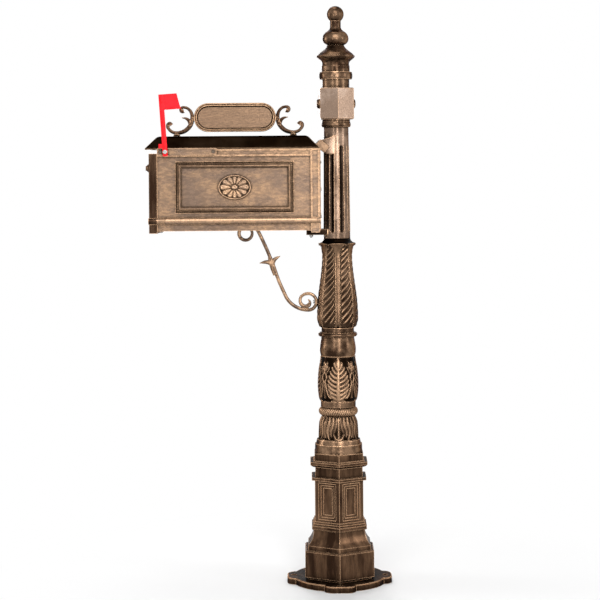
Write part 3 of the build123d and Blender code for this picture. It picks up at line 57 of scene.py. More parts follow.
def bronze(name, ground, rub, mottle=9.0, rub_share=0.5, wear=1.0, roughness=(0.20, 0.34), metal=0.8,
           carved=False, drawn=1.0, tint=(0.16, 0.11, 0.08, 1), patina_and_shade=(WIDE_PATINA_SHADE, FINE_PATINA_SHADE)):
    """Rubbed bronze paint: a mottled ground, creases dark with patina and painted shade, bare copper on edges
    and relief.

    Mottle is the patches' scale, drawn stretches them upwards (under 1) or along (over 1), and carved
    reads the attribute relief, which is 0 in the hollows and 1 on the highest places.
    """
    material = bpy.data.materials.new(name)
    material.use_nodes = True
    nodes, links = material.node_tree.nodes, material.node_tree.links
    shader = nodes["Principled BSDF"]
    shader.inputs["Metallic"].default_value = metal
    shader.inputs["Specular IOR Level"].default_value = 0.15
    shader.inputs["Specular Tint"].default_value = tint
    place = nodes.new("ShaderNodeTexCoord")
    stretched = nodes.new("ShaderNodeVectorMath")
    stretched.operation = "MULTIPLY"
    stretched.inputs[1].default_value = (1, 1, drawn)
    links.new(place.outputs["Object"], stretched.inputs[0])

    def noise(scale, detail, rough=0.55):
        texture = nodes.new("ShaderNodeTexNoise")
        texture.inputs["Scale"].default_value = scale
        texture.inputs["Detail"].default_value = detail
        texture.inputs["Roughness"].default_value = rough
        links.new(stretched.outputs["Vector"], texture.inputs["Vector"])
        return texture.outputs["Fac"]

    def spread(value, low, high, to_low=0.0, to_high=1.0):
        node = nodes.new("ShaderNodeMapRange")
        links.new(value, node.inputs["Value"])
        for socket, number in zip(("From Min", "From Max", "To Min", "To Max"), (low, high, to_low, to_high)):
            node.inputs[socket].default_value = number
        return node.outputs["Result"]

    def times(first, second):
        node = nodes.new("ShaderNodeMath")
        node.operation = "MULTIPLY"
        node.use_clamp = True
        links.new(first, node.inputs[0])
        if isinstance(second, float):
            node.inputs[1].default_value = second
        else:
            links.new(second, node.inputs[1])
        return node.outputs["Value"]

    def laid_over(below, above, share):
        node = nodes.new("ShaderNodeMix")
        node.data_type = "RGBA"
        links.new(share, node.inputs["Factor"])
        for socket, colour in ((node.inputs[MIX_A], below), (node.inputs[MIX_B], above)):
            if isinstance(colour, tuple):
                socket.default_value = colour
            else:
                links.new(colour, socket)
        return node.outputs[MIX_OUT]

    broad, fine, grain = noise(mottle, 5.0, 0.62), noise(60.0, 4.0), noise(420.0, 2.0)
    rubbed = times(spread(broad, 0.40, 0.66), spread(fine, 0.30, 0.62, 0.35, 1.0))
    colour = laid_over(ground, rub, times(rubbed, rub_share * 2))
    # Occlusion darkens the colour: patina wiped into the hollows, and painted shade where neighbouring parts
    # close in.
    for distance, deep, open_share in patina_and_shade:
        hollow = nodes.new("ShaderNodeAmbientOcclusion")
        hollow.samples = 8
        hollow.inputs["Distance"].default_value = distance
        crease_patina_shade = spread(hollow.outputs["AO"], deep, open_share, CREASE_PATINA_SHADE_SHARE, 0.0)
        colour = laid_over(colour, HOLLOW_PATINA_AND_SHADE, crease_patina_shade)
    if carved:
        relief = nodes.new("ShaderNodeAttribute")
        relief.attribute_name = "relief"
        # Low relief is painted dark: patina in the sunk ground, and painted shade there as well.
        colour = laid_over(colour, HOLLOW_PATINA_AND_SHADE, spread(relief.outputs["Fac"], 0.50, 0.16, 0.0, SUNK_PATINA_SHADE_SHARE))
        high = times(spread(relief.outputs["Fac"], 0.60, 1.0), spread(fine, 0.25, 0.60, 0.60, 1.0))
        colour = laid_over(colour, WORN_COPPER, times(high, COPPER_SHARE))
    rounded = nodes.new("ShaderNodeBevel")
    rounded.samples = 6
    rounded.inputs["Radius"].default_value = EDGE_R
    flat = nodes.new("ShaderNodeNewGeometry")
    turned = nodes.new("ShaderNodeVectorMath")
    turned.operation = "DOT_PRODUCT"
    links.new(rounded.outputs["Normal"], turned.inputs[0])
    links.new(flat.outputs["Normal"], turned.inputs[1])
    edge = spread(turned.outputs["Value"], 0.995, 0.90, 0.0, 1.0)
    edge = times(times(edge, spread(fine, 0.28, 0.55, 0.70, 1.0)), spread(hollow.outputs["AO"], 0.30, 0.55))
    colour = laid_over(colour, WORN_COPPER, times(edge, wear))
    links.new(colour, shader.inputs["Base Color"])
    links.new(spread(fine, 0.3, 0.7, *roughness), shader.inputs["Roughness"])
    bump = nodes.new("ShaderNodeBump")
    bump.inputs["Strength"].default_value = GRAIN_STRENGTH
    bump.inputs["Distance"].default_value = GRAIN_DEPTH
    links.new(times(grain, fine), bump.inputs["Height"])
    links.new(bump.outputs["Normal"], shader.inputs["Normal"])
    return material


def clad(material, *names):
    """Gives CAD pieces their finish."""
    for name in names:
        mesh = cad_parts[name].data
        mesh.materials.clear()
        mesh.materials.append(material)


FOOT_BROWN = (0.028, 0.014, 0.008, 1)
FOOT_RUB = (0.20, 0.113, 0.064, 1)
foot_bronze = bronze("foot_bronze_brushed", FOOT_BROWN, FOOT_RUB, mottle=22.0, rub_share=0.45, drawn=0.16)
clad(foot_bronze, "foot_plate", "pedestal")

# ---- Turned castings of the post --------------------------------------------------------------
# Plain castings threaded over the tube like beads. The collar is painted lighter and greyer than the
# castings round it, as a painted sheen.
SHAFT_RUB = (0.27, 0.185, 0.135, 1)
COLLAR_SHEEN_RUB = (0.43, 0.325, 0.26, 1)
PLAIN_RUB = (0.25, 0.153, 0.092, 1)
post_bronze = bronze("post_bronze_rubbed", POST_BROWN, PLAIN_RUB, mottle=12.0, rub_share=0.75)
clad(post_bronze, "drum", "bell", "waist_ring", "cap_ring", "dome_nuts", "finial_base", "finial_ball")
collar_sheen_bronze = bronze("collar_bronze_rubbed", SHAFT_RUB, COLLAR_SHEEN_RUB, rub_share=0.6, metal=0.6)
clad(collar_sheen_bronze, "hex_collar")

# ---- Leaf cup ---------------------------------------------------------------------------------
# A round casting on the drum with a calyx in relief: four stems, each with a crescent at its foot,
# and long lobes that hang between them. It is threaded over the tube like a bead.


def outline_curve(points, count):
    """A smooth outline through a few (radius, height) points in mm, as count points in metres."""
    knots = np.array([points[0], *points, points[-1]], float) / 1000
    spans = len(points) - 1
    curve = []
    for k in range(count):
        place = spans * k / (count - 1)
        i = min(int(place), spans - 1)
        t = place - i
        a, b, c, d = knots[i:i + 4]
        bend, twist = 2 * a - 5 * b + 4 * c - d, 3 * b - a - 3 * c + d
        curve.append(0.5 * (2 * b + (c - a) * t + bend * t**2 + twist * t**3))
    return curve


def lathe(outer, inner, steps):
    """A hollow casting: outer and inner outlines joined in a loop and spun round the post."""
    bm = bmesh.new()
    layer = bm.verts.layers.int.new("skin")
    bm.verts.layers.float.new("relief")
    loop = [bm.verts.new((radius, 0, height)) for radius, height in [*outer, *reversed(inner)]]
    edges = [bm.edges.new((loop[k - 1], loop[k])) for k in range(len(loop))]
    for k, vert in enumerate(loop):
        vert[layer] = int(k < len(outer))
    bmesh.ops.spin(bm, geom=loop + edges, cent=(0, 0, 0), axis=(0, 0, 1), angle=tau, steps=steps,
                   use_merge=True, dvec=(0, 0, 0), use_duplicate=False)
    bmesh.ops.recalc_face_normals(bm, faces=bm.faces)
    return bm


def raise_skin(bm, relief, low, high):
    """Moves the skin by relief(turn, height, radius) in metres; low is painted dark, high is rubbed."""
    layer = bm.verts.layers.int["skin"]
    high_places = bm.verts.layers.float["relief"]
    skin = [vert for vert in bm.verts if vert[layer]]
    places = np.array([vert.co for vert in skin])
    radius = np.hypot(places[:, 0], places[:, 1])
    rise = relief(np.arctan2(places[:, 1], places[:, 0]), places[:, 2], radius)
    shown = np.clip((rise - low) / (high - low), 0, 1)
    for vert, out, share in zip(skin, 1 + rise / radius, shown):
        vert.co.x *= out
        vert.co.y *= out
        vert[high_places] = share


def stroke(across, along, line, widths, height, curved=True):
    """Rise of a round-backed stroke along a line of (across, along) points, all in mm."""
    points = outline_curve(line, 7 if len(line) < 4 else 12) if curved else np.array(line, float) / 1000
    share = np.linspace(0, 1, len(points))
    halves = np.interp(share, np.linspace(0, 1, len(widths)), widths) / 1000
    rise = np.zeros_like(across)
    for k in range(len(points) - 1):
        start, run = points[k], points[k + 1] - points[k]
        t = np.clip(((across - start[0]) * run[0] + (along - start[1]) * run[1]) / run.dot(run), 0, 1)
        gap = np.hypot(across - start[0] - t * run[0], along - start[1] - t * run[1])
        half = halves[k] + t * (halves[k + 1] - halves[k])
        rise = np.maximum(rise, np.sqrt(np.clip(1 - (gap / half) ** 2, 0, 1)))
    return rise * height / 1000


def folded(turn, count, radius):
    """Arc from the nearest of count stations round the post, one of them in front."""
    cell = tau / count
    return (np.mod(turn + pi / 2 + cell / 2, cell) - cell / 2) * radius


def cast(bm, name, slot, finish, *nodes, smooth=True):
    """Makes the mesh a piece of the post and box that stands for the CAD nodes named."""
    mesh = bpy.data.meshes.new(name)
    bm.to_mesh(mesh)
    bm.free()
    if smooth:
        mesh.shade_smooth()
    mesh.materials.append(finish)
    piece = bpy.data.objects.new(name, mesh)
    bpy.context.scene.collection.objects.link(piece)
    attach(piece, "post_and_box")
    if nodes:
        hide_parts(*nodes)


BORE = 0.0305
CUP_FOOT, CUP_TOP = 0.4432, 0.5158
CUP_GROUND, CUP_RISE = 0.0012, 0.0026  # the ground lies back, and the lobes stand out
cup_outline = [(61.0, 443.2), (60.0, 450), (59.3, 470), (57.3, 496), (52.5, 508), (50.0, 515.8)]
cup_bm = lathe(outline_curve(cup_outline, 62), [(BORE, CUP_FOOT), (BORE, CUP_TOP)], steps=300)
carved_bronze = bronze("post_bronze_carved", POST_BROWN, POST_RUB, carved=True)


def calyx(turn, height, radius):
    """Stems with crescents in front, behind and at the sides, and lobes hanging between them."""
    across, along = np.abs(folded(turn, 4, radius)), height - 0.443
    rise = stroke(across, along, [(0, 70), (0, 40), (0, 8)], (2.2, 2.6, 4.6), 3.4)
    rise = np.maximum(rise, stroke(across, along, [(0, 66), (0, 61)], (4.6, 3.0), 4.0, False))
    rise = np.maximum(rise, stroke(across, along, [(0, 3), (9, 6), (17, 22)], (4.2, 3.4, 0.8), 3.4))
    lobes = [
        ([(6.5, 70), (8, 50), (12, 32), (16, 23)], (2.4, 4.2, 4.6, 1.0), 2.6),
        ([(16, 71), (18, 50), (25, 28), (23, 12)], (2.8, 5.4, 5.8, 1.4), 3.2),
        ([(27, 71), (31, 48), (37, 26), (31, 5)], (3.2, 5.8, 6.2, 1.6), 3.6),
        ([(41, 71), (44, 48), (46, 26), (43, 8)], (3.4, 5.4, 5.2, 1.4), 3.0),
    ]
    for line, widths, proud in lobes:
        rise = np.maximum(rise, stroke(across, along, line, widths, proud))
    return rise - CUP_GROUND


raise_skin(cup_bm, calyx, low=-CUP_GROUND, high=CUP_RISE)
cast(cup_bm, "leaf_cup_carved", "post_bronze", carved_bronze, "leaf_cup")

# ---- Rope ring --------------------------------------------------------------------------------
# A torus turned on the pattern and carved as a twisted rope before it was cast.
ROPE_STRANDS, ROPE_LEAN, ROPE_CUT = 54, 0.9, 0.0021
ROPE_PATH_R, ROPE_MID, ROPE_R = 0.0472, 0.530, 0.0138
ROPE_FOOT, ROPE_TOP = 0.5162, 0.5438
rope_turns = [radians(degrees) for degrees in range(-90, 91, 10)]
rope_outer = [(ROPE_PATH_R + ROPE_R * cos(turn), ROPE_MID + ROPE_R * sin(turn)) for turn in rope_turns]
rope_bm = lathe(rope_outer, [(BORE, ROPE_FOOT), (BORE, ROPE_TOP)], steps=432)


def rope_twist(turn, height, radius):
    """Grooves that climb to the right."""
    lay = (turn * ROPE_STRANDS / tau - (height - ROPE_MID) / ROPE_R * ROPE_LEAN) % 1.0
    return -ROPE_CUT * np.abs(2 * lay - 1) ** 2.5


raise_skin(rope_bm, rope_twist, low=-0.0022, high=0)
cast(rope_bm, "rope_ring_twisted", "post_bronze", carved_bronze, "rope_ring")

# ---- Acanthus barrel --------------------------------------------------------------------------
# A swelling casting with four tall acanthus leaves, and a lyre with a drop-shaped hollow between
# each two of them.
BARREL_FOOT, BARREL_R = 0.560, 0.0605
FIELD_LOW, FIELD_HIGH, FIELD_SUNK = 0.0035, 0.141, 0.0022  # the band of the leaves, over the foot
LEAFLETS = (27, 32, 34, 33, 30, 26, 20, 13)  # reach of each, in mm
LEAFLET_FOOT, LEAFLET_PITCH = 10, 13.2
LYRE = 47.5  # from the middle of a leaf round to that of a lyre, in mm
barrel_outline = [
    (54.4, 544.2), (54.4, 559), (55.0, 561), (58.6, 571), (61.6, 594), (62.3, 617), (61.2, 640),
    (58.6, 664), (54.6, 686), (52.6, 701.8),
]
barrel_bm = lathe(outline_curve(barrel_outline, 126), [(BORE, 0.5442), (BORE, 0.7018)], steps=336)


def acanthus(turn, height, radius):
    """Leaves on the four sides, lyres on the corners; across runs from a leaf to the next lyre."""
    across, along = np.abs(folded(turn, 4, BARREL_R)), height - BARREL_FOOT
    rise = stroke(across, along, [(0, 2), (0, 60), (0, 118)], (8.6, 6.4, 4.0), 3.4)
    rise = np.maximum(rise, stroke(across, along, [(0, 4), (14, 4.5), (28, 1.5)], (6.0, 3.4, 1.6), 2.6))
    tip = stroke(across, along, [(0, 106), (0, 122), (0, 140)], (4.4, 10.0, 0.6), 3.4, False)
    rise = np.maximum(rise, tip)
    for k, leaf_reach in enumerate(LEAFLETS):
        foot = LEAFLET_FOOT + LEAFLET_PITCH * k
        line = [(3, 0), (0.45 * leaf_reach, 3), (0.85 * leaf_reach, 12), (leaf_reach, 21)]
        line = [(x, foot + y) for x, y in line]
        rise = np.maximum(rise, stroke(across, along, line, (4.0, 4.8, 4.2, 1.6), 3.0))
    lyre = [
        ([(LYRE, 62), (LYRE - 7, 72), (LYRE - 8.2, 80), (LYRE - 4, 89), (LYRE, 92)],
         (2.1, 2.1, 2.2, 2.1), 3.2),
        ([(LYRE - 3, 66), (LYRE - 6.5, 50), (LYRE - 10, 34), (LYRE - 17, 18), (LYRE - 24, 14)],
         (2.3, 2.4, 2.6, 2.8, 1.6), 3.2),
        ([(LYRE - 24, 14), (LYRE - 25, 21), (LYRE - 19.5, 24)], (1.8, 2.0, 1.4), 2.8),
        ([(LYRE, 55), (LYRE, 34), (LYRE - 2, 14)], (1.4, 2.8, 1.2), 2.0),
        ([(LYRE, 92), (LYRE, 106), (LYRE, 123)], (2.6, 3.6, 0.8), 3.2),
        ([(LYRE - 1, 97), (LYRE - 7, 104), (LYRE - 9.5, 114)], (2.2, 2.8, 1.0), 2.8),
        ([(LYRE - 1, 106), (LYRE - 6, 114), (LYRE - 8, 125)], (2.0, 2.6, 1.0), 2.6),
        ([(LYRE - 8, 92), (LYRE - 13, 99), (LYRE - 16, 110)], (1.8, 2.2, 0.8), 2.2),
    ]
    for line, widths, proud in lyre:
        rise = np.maximum(rise, stroke(across, along, line, widths, proud))
    drop = stroke(across, along, [(LYRE, 68), (LYRE, 80), (LYRE, 84)], (1.5, 6.2, 5.5), 5.0, False)
    inside = (along > FIELD_LOW) & (along < FIELD_HIGH)
    sunk = np.clip((along - 0.001) / 0.003, 0, 1) * np.clip((0.1415 - along) / 0.004, 0, 1) * FIELD_SUNK
    return np.where(inside, rise, 0.0) - sunk - np.where(rise < 0.0008, drop, 0.0)


raise_skin(barrel_bm, acanthus, low=-0.0024, high=0.0012)
cast(barrel_bm, "acanthus_barrel_carved", "post_bronze", carved_bronze, "acanthus_barrel")

# ---- Leaf vase --------------------------------------------------------------------------------
# A tall casting with six plain ribs that open like trumpets into the petals of its rim, and between
# them six panels of slanting feather strokes. A dark cone closes it up to the fluted shaft's foot.
VASE_FOOT, VASE_HEIGHT, VASE_RIBS = 0.790, 0.262, 6
RIB_HALF, TRUMPET_SPREAD, TRUMPET_H = 0.0076, 0.0175, 0.011
RIB_RISE, RIB_EDGE_RISE, PETAL_RISE, PETAL_H = 0.0014, 0.0013, 0.0016, 0.045
STROKE_RISE, STROKE_HEIGHT, STROKE_SUNK, STROKE_SHARE = 0.0205, 0.0038, 0.0013, 0.52
PETAL_FOOT_Z, PETAL_FALL = 1.044, 0.0075  # the petals' tops drop at their sides
vase_outline = [
    (52.0, 790.2), (57.0, 792.5), (60.2, 799), (61.6, 815), (61.4, 840), (58.8, 880), (53.6, 920),
    (48.4, 958), (45.2, 990), (44.4, 1010), (46.0, 1028), (51.0, 1042), (57.2, 1051.6),
]
vase_cone = [(30.5, 790.2), (30.5, 1065.8), (41.2, 1065.8), (43.5, 1060), (48.5, 1054.6), (56.2, 1052.2)]
vase_bm = lathe(outline_curve(vase_outline, 172), [(r / 1000, z / 1000) for r, z in vase_cone], steps=348)


def feathers(turn, height, radius):
    """Ribs, trumpet petals, and strokes that climb to the right between them."""
    along = height - VASE_FOOT
    reach = pi / VASE_RIBS * radius
    far = np.abs(folded(turn, VASE_RIBS, radius))
    beside = folded(turn + pi / VASE_RIBS, VASE_RIBS, radius)
    below_rim = VASE_HEIGHT - along
    half = np.minimum(RIB_HALF + TRUMPET_SPREAD * np.exp(-below_rim / TRUMPET_H), reach)
    rib = np.sqrt(np.clip(1 - (far / half) ** 2, 0, 1)) * RIB_RISE
    rib += RIB_EDGE_RISE * np.exp(-(((far - half + 0.0013) / 0.0008) ** 2))
    petal = np.maximum(rib * below_rim / PETAL_H, PETAL_RISE * (far < half))
    rib = np.where(below_rim < PETAL_H, petal, rib)
    groove = -0.0022 * np.exp(-(((far - half - 0.0008) / 0.0012) ** 2)) * (below_rim > 0.004)
    climb = 1.05 * beside + 7.0 * beside * np.abs(beside) + 9.0 * beside**2
    lay = ((along - climb) / (STROKE_RISE - 0.012 * (along / VASE_HEIGHT - 0.5) * 0.3)) % 1.0
    ridge = np.where(lay < STROKE_SHARE, np.sin(pi * lay / STROKE_SHARE), 0.0)
    beside_rib = np.clip((far - half - 0.0016) / 0.0030, 0, 1)
    ends = np.clip((along - 0.012) / 0.008, 0, 1) * np.clip((0.250 - along) / 0.006, 0, 1)
    feather = (STROKE_HEIGHT * ridge - STROKE_SUNK) * beside_rib * ends
    tooth = 0.0022 * np.clip(1 - (reach - far) / 0.0022, 0, 1)
    tooth *= np.clip(1 - np.abs(below_rim - 0.007) / 0.007, 0, 1)
    gadroon = -0.0030 * np.exp(-((far / 0.0040) ** 2)) * np.clip((0.012 - along) / 0.010, 0, 1)
    return np.maximum(rib, feather * (far > half)) + groove + tooth + gadroon


raise_skin(vase_bm, feathers, low=-STROKE_SUNK, high=0.0026)
vase_skin = vase_bm.verts.layers.int["skin"]
for vert in vase_bm.verts:
    if vert[vase_skin] and vert.co.z > PETAL_FOOT_Z:
        turn, radius = atan2(vert.co.y, vert.co.x), hypot(vert.co.x, vert.co.y)
        notch = abs(folded(turn, VASE_RIBS, radius)) / (pi / VASE_RIBS * radius)
        vert.co.z -= PETAL_FALL * notch**5 * (vert.co.z - PETAL_FOOT_Z) / 0.008
cast(vase_bm, "leaf_vase_feathered", "post_bronze", carved_bronze, "leaf_vase")

# ---- Fluted shaft -----------------------------------------------------------------------------
# A tapered casting with eight round-ended flutes, rims rubbed bright. It carries the arm under the
# box, and a web as wide as itself that ends in the rounded pad on the roof's rear slope.
SHAFT_BROWN = (0.085, 0.055, 0.039, 1)
SHAFT_FOOT_Z, SHAFT_TOP_Z, SHAFT_ROWS = 1.0661, 1.4119, 150
SHAFT_FOOT_R, SHAFT_TAPER = 0.0414, 0.003
FLUTES, FLUTE_R, FLUTE_DEPTH = 8, 0.0070, 0.0046
FLUTE_MID_Z, FLUTE_HALF_L = 1.2200, 0.1285
FLUTE_RIM_R, FLUTE_RIM_HALF, FLUTE_RIM_RISE = 0.0076, 0.0008, 0.0013
PLATE_RUB = 0.66  # relief of the web and the arm, which lie open to the cloth
shaft_rows = [
    (SHAFT_FOOT_R - SHAFT_TAPER * k / SHAFT_ROWS,
     SHAFT_FOOT_Z + (SHAFT_TOP_Z - SHAFT_FOOT_Z) * k / SHAFT_ROWS)
    for k in range(SHAFT_ROWS + 1)
]
shaft_bm = lathe(shaft_rows, [(BORE, SHAFT_FOOT_Z), (BORE, SHAFT_TOP_Z)], steps=360)


def flutes(turn, height, radius):
    """Eight round-bottomed slots, two of them beside the front, each with a raised rim."""
    across = folded(turn + pi / FLUTES, FLUTES, radius)
    past_end = np.maximum(np.abs(height - FLUTE_MID_Z) - FLUTE_HALF_L, 0)
    gap = np.hypot(across, past_end)
    rim = FLUTE_RIM_RISE * np.exp(-(((gap - FLUTE_RIM_R) / FLUTE_RIM_HALF) ** 2))
    return rim - FLUTE_DEPTH * np.sqrt(np.clip(1 - (gap / FLUTE_R) ** 2, 0, 1))


def rounded_pad(middle, half_l, half_t, corner, lean):
    """A rounded rectangle in the shaft's plane, in mm, turned by lean."""
    outline = []
    for k, (u, v) in enumerate(((1, 1), (-1, 1), (-1, -1), (1, -1))):
        for step in range(6):
            t = radians(90 * k + 18 * step)
            along, off = u * (half_l - corner) + corner * cos(t), v * (half_t - corner) + corner * sin(t)
            x = middle[0] - along * cos(lean) + off * sin(lean)
            z = middle[1] + along * sin(lean) + off * cos(lean)
            outline.append((x, z))
    return outline


def plate(outline, half_y, rounding, segments):
    """A plate of the outline in mm, as thick as 2 x half_y in metres, with rounded rims."""
    bm = bmesh.new()
    near = bm.faces.new([bm.verts.new((x / 1000, -half_y, z / 1000)) for x, z in outline])
    far_end = bmesh.ops.extrude_face_region(bm, geom=[near])["geom"]
    far_verts = [vert for vert in far_end if isinstance(vert, bmesh.types.BMVert)]
    bmesh.ops.translate(bm, verts=far_verts, vec=(0, 2 * half_y, 0))
    bmesh.ops.recalc_face_normals(bm, faces=bm.faces)
    rims = [edge for edge in bm.edges if edge.verts[0].co.y == edge.verts[1].co.y]
    bmesh.ops.bevel(bm, geom=rims, offset=rounding, segments=segments, profile=0.5, affect="EDGES",
                    material=-1)
    return bm


raise_skin(shaft_bm, flutes, low=-0.0055, high=0.0030)
shaft_relief = shaft_bm.verts.layers.float["relief"]
for outline, half_y in (  # the web under the pad, and the arm under the box
    ([(-57, 1370), (-24, 1378), (-4, 1386), (-4, 1329), (-32, 1329), (-44, 1342)], 0.0402),
    ([(-95, 1078), (-20, 1078), (-20, 1096), (-57, 1096), (-57, 1109), (-95, 1109)], 0.0300),
):
    plate_bm = plate(outline, half_y, rounding=0.0015, segments=3)
    plate_mesh = bpy.data.meshes.new("plate")
    plate_bm.to_mesh(plate_mesh)
    plate_bm.free()
    before = len(shaft_bm.verts)
    shaft_bm.from_mesh(plate_mesh)
    shaft_bm.verts.ensure_lookup_table()
    for vert in shaft_bm.verts[before:]:
        vert[shaft_relief] = PLATE_RUB
shaft_carved = bronze("shaft_bronze_carved", SHAFT_BROWN, SHAFT_RUB, rub_share=0.7, carved=True)
cast(shaft_bm, "fluted_shaft_cast", "post_bronze", shaft_carved, "fluted_shaft")

# The pad is rubbed paler than the shaft and has only the narrow painted crease shade, so the painted shade
# of the roof over it doesn't darken it.
PAD_BROWN = (0.19, 0.118, 0.074, 1)
PAD_RUB = (0.34, 0.215, 0.132, 1)
PAD_MID, PAD_HALF_L, PAD_HALF_T, PAD_CORNER, PAD_LEAN = (-43.5, 1353.5), 18.6, 12.7, 4, radians(39.5)
pad_outline = rounded_pad(PAD_MID, PAD_HALF_L, PAD_HALF_T, PAD_CORNER, PAD_LEAN)
pad_bronze = bronze("pad_bronze_rubbed", PAD_BROWN, PAD_RUB, rub_share=0.6, metal=0.6,
                    patina_and_shade=((0.004, 0.45, 0.80),))
pad_bm = plate(pad_outline, half_y=0.0432, rounding=0.0018, segments=4)
cast(pad_bm, "shaft_web_pad", "post_bronze", pad_bronze, smooth=False)

# ---- Box --------------------------------------------------------------------------------------
# Cast aluminium panels in a lighter bronze, mottled by hand rubbing, with coppery mouldings. The
# door is painted darker as painted shade, and brushed downwards.
BOX_BROWN = (0.195, 0.132, 0.095, 1)
BOX_RUB = (0.345, 0.216, 0.130, 1)
box_bronze = bronze("box_bronze_rubbed", BOX_BROWN, BOX_RUB, mottle=13.0, rub_share=0.65, metal=0.5,
                    drawn=2.2, patina_and_shade=(WIDE_PATINA_SHADE, (0.008, 0.55, 0.95)))
clad(box_bronze, "flag_side_panel", "plain_side_panel", "rear_panel", "door_frame", "flag_bar")
# Dark bronze: on the door it is painted shade, and on the knob and the C-scrolls it is their tone.
door_shade_and_scroll_bronze = bronze("door_bronze_brushed", FOOT_BROWN, POST_RUB, mottle=14.0, drawn=0.16)
clad(door_shade_and_scroll_bronze, "door", "door_knob")

# ---- Medallions and rope frames of the side panels --------------------------------------------
# Each side carries a cast oval rosette, screwed through the panel, and a rope moulding round its
# field, mitred at the corners. The rosette is rubbed lighter than the panel, and the rope is darker.
SIDES = ((-1, "flag_side"), (1, "plain_side"))
FIELD_Y = 0.1178
MEDALLION_L, MEDALLION_H = 0.102, 0.0755
MEDALLION_X, MEDALLION_Z = -0.3125, 1.229
PETALS, PETAL_IN, PETAL_OUT, PETAL_PROUD = 12, 0.27, 0.84, 0.0036  # in and out as shares of the oval
box_carved = bronze("box_bronze_carved", BOX_BROWN, BOX_RUB, mottle=14.0, rub_share=0.8, metal=0.5,
                    carved=True)
ROPE_BROWN = (0.050, 0.029, 0.018, 1)
ROPE_RUB = (0.18, 0.112, 0.068, 1)
rope_bronze = bronze("rope_bronze_carved", ROPE_BROWN, ROPE_RUB, rub_share=0.6, wear=0.3, metal=0.6,
                     carved=True)


def rosette(across, up):
    """Twelve dimpled petals round a boss, inside a thin rim; across and up in metres."""
    far = np.hypot(across / (MEDALLION_L / 2), up / (MEDALLION_H / 2))
    reach = np.hypot(across, up)
    cell = tau / PETALS
    aside = (np.mod(np.arctan2(up, across) + cell / 2, cell) - cell / 2) * reach
    along = np.clip((far - PETAL_IN) / (PETAL_OUT - PETAL_IN), 0, 1)
    half = np.tan(cell / 2) * reach * 0.90 * np.clip(1 - (2 * along - 1) ** 6, 0, 1) ** 0.5 + 1e-6
    petal = np.sqrt(np.clip(1 - (aside / half) ** 2, 0, 1)) * PETAL_PROUD * (0.80 + 0.20 * along)
    petal = petal * (far > PETAL_IN) * (far < PETAL_OUT)
    dimple = 0.0014 * np.exp(-((aside / 0.0020) ** 2) - ((far - 0.70) / 0.050) ** 2)
    eye = np.hypot(across / 0.0105, up / 0.0075)
    boss = 0.0042 * np.sqrt(np.clip(1 - eye**2, 0, 1)) - 0.0016 * np.exp(-((eye / 0.35) ** 2))
    rim = 0.0034 * np.sqrt(np.clip(1 - ((far - 0.945) / 0.052) ** 2, 0, 1))
    return np.maximum.reduce([petal - dimple, boss, rim, 0 * far + 0.0003])


for side, place in SIDES:
    bm = bmesh.new()
    bm.verts.layers.float.new("relief")
    line = [bm.verts.new((k / 40, 0, 0)) for k in range(41)]
    line += [bm.verts.new((1, -0.002, 0)), bm.verts.new((0, -0.002, 0))]
    edges = [bm.edges.new((line[k], line[k + 1])) for k in range(len(line) - 1)]
    bmesh.ops.spin(bm, geom=line + edges, cent=(0, 0, 0), axis=(0, 1, 0), angle=tau, steps=180,
                   use_merge=True, dvec=(0, 0, 0), use_duplicate=False)
    bmesh.ops.remove_doubles(bm, verts=bm.verts, dist=1e-6)
    relief_layer = bm.verts.layers.float["relief"]
    for vert in bm.verts:
        vert.co.x *= MEDALLION_L / 2
        vert.co.z *= MEDALLION_H / 2
    front = [vert for vert in bm.verts if vert.co.y > -0.001]
    places = np.array([vert.co for vert in front])
    rise = rosette(places[:, 0], places[:, 2])
    for vert, out in zip(front, rise):
        vert.co.y = out
        vert[relief_layer] = min(out / PETAL_PROUD, 1)
    for vert in bm.verts:
        vert.co = (MEDALLION_X + vert.co.x, side * (FIELD_Y + vert.co.y), MEDALLION_Z + vert.co.z)
    bmesh.ops.recalc_face_normals(bm, faces=bm.faces)
    cast(bm, place + "_rosette", "box_bronze", box_carved, place + "_medallion")

ROPE_X, ROPE_Z = (-0.4915, -0.1335), (1.1525, 1.3055)
ROPE_BAND, BEAD_BAND, FRAME_BAND = 0.0086, 0.0124, 0.0176  # each band's inner edge
STRAND = 0.0056
BAR_W, BAR_ROUND, BAR_LIFT = 0.0150, 0.0045, 0.0009  # the panel's own bar, and the skin over it
GRID, SKIN_DEPTH = 0.0014, 0.001


def rope_frame(run, inward):
    """Rise and rub of the moulding at a run along it and a distance in from its outer edge."""
    lay = (run / STRAND + inward / ROPE_BAND * 1.3) % 1.0
    strand = abs(2 * lay - 1)
    from_edge = min(inward, max(BAR_W - inward, 0.0))
    bar = BAR_LIFT + (BAR_ROUND**2 - (BAR_ROUND - min(from_edge, BAR_ROUND)) ** 2) ** 0.5
    if inward < ROPE_BAND:
        across = 1 - (2 * inward / ROPE_BAND - 1) ** 2
        return bar + 0.0012 * across - 0.0007 * strand**2, 0.12 + 0.88 * across * (1 - strand) ** 2.5
    if inward < BEAD_BAND:
        return max(bar, 0.0056) + 0.0005, 0.42 + 0.50 * (inward > 0.0098) * (inward < 0.0118)
    return bar, 0.0


def closed_back(bm, side):
    """Takes the open rim of a skin back into the panel."""
    rim = [edge for edge in bm.edges if edge.is_boundary]
    for vert in bmesh.ops.extrude_edge_only(bm, edges=rim)["geom"]:
        if isinstance(vert, bmesh.types.BMVert):
            vert.co.y = side * (FIELD_Y - SKIN_DEPTH)


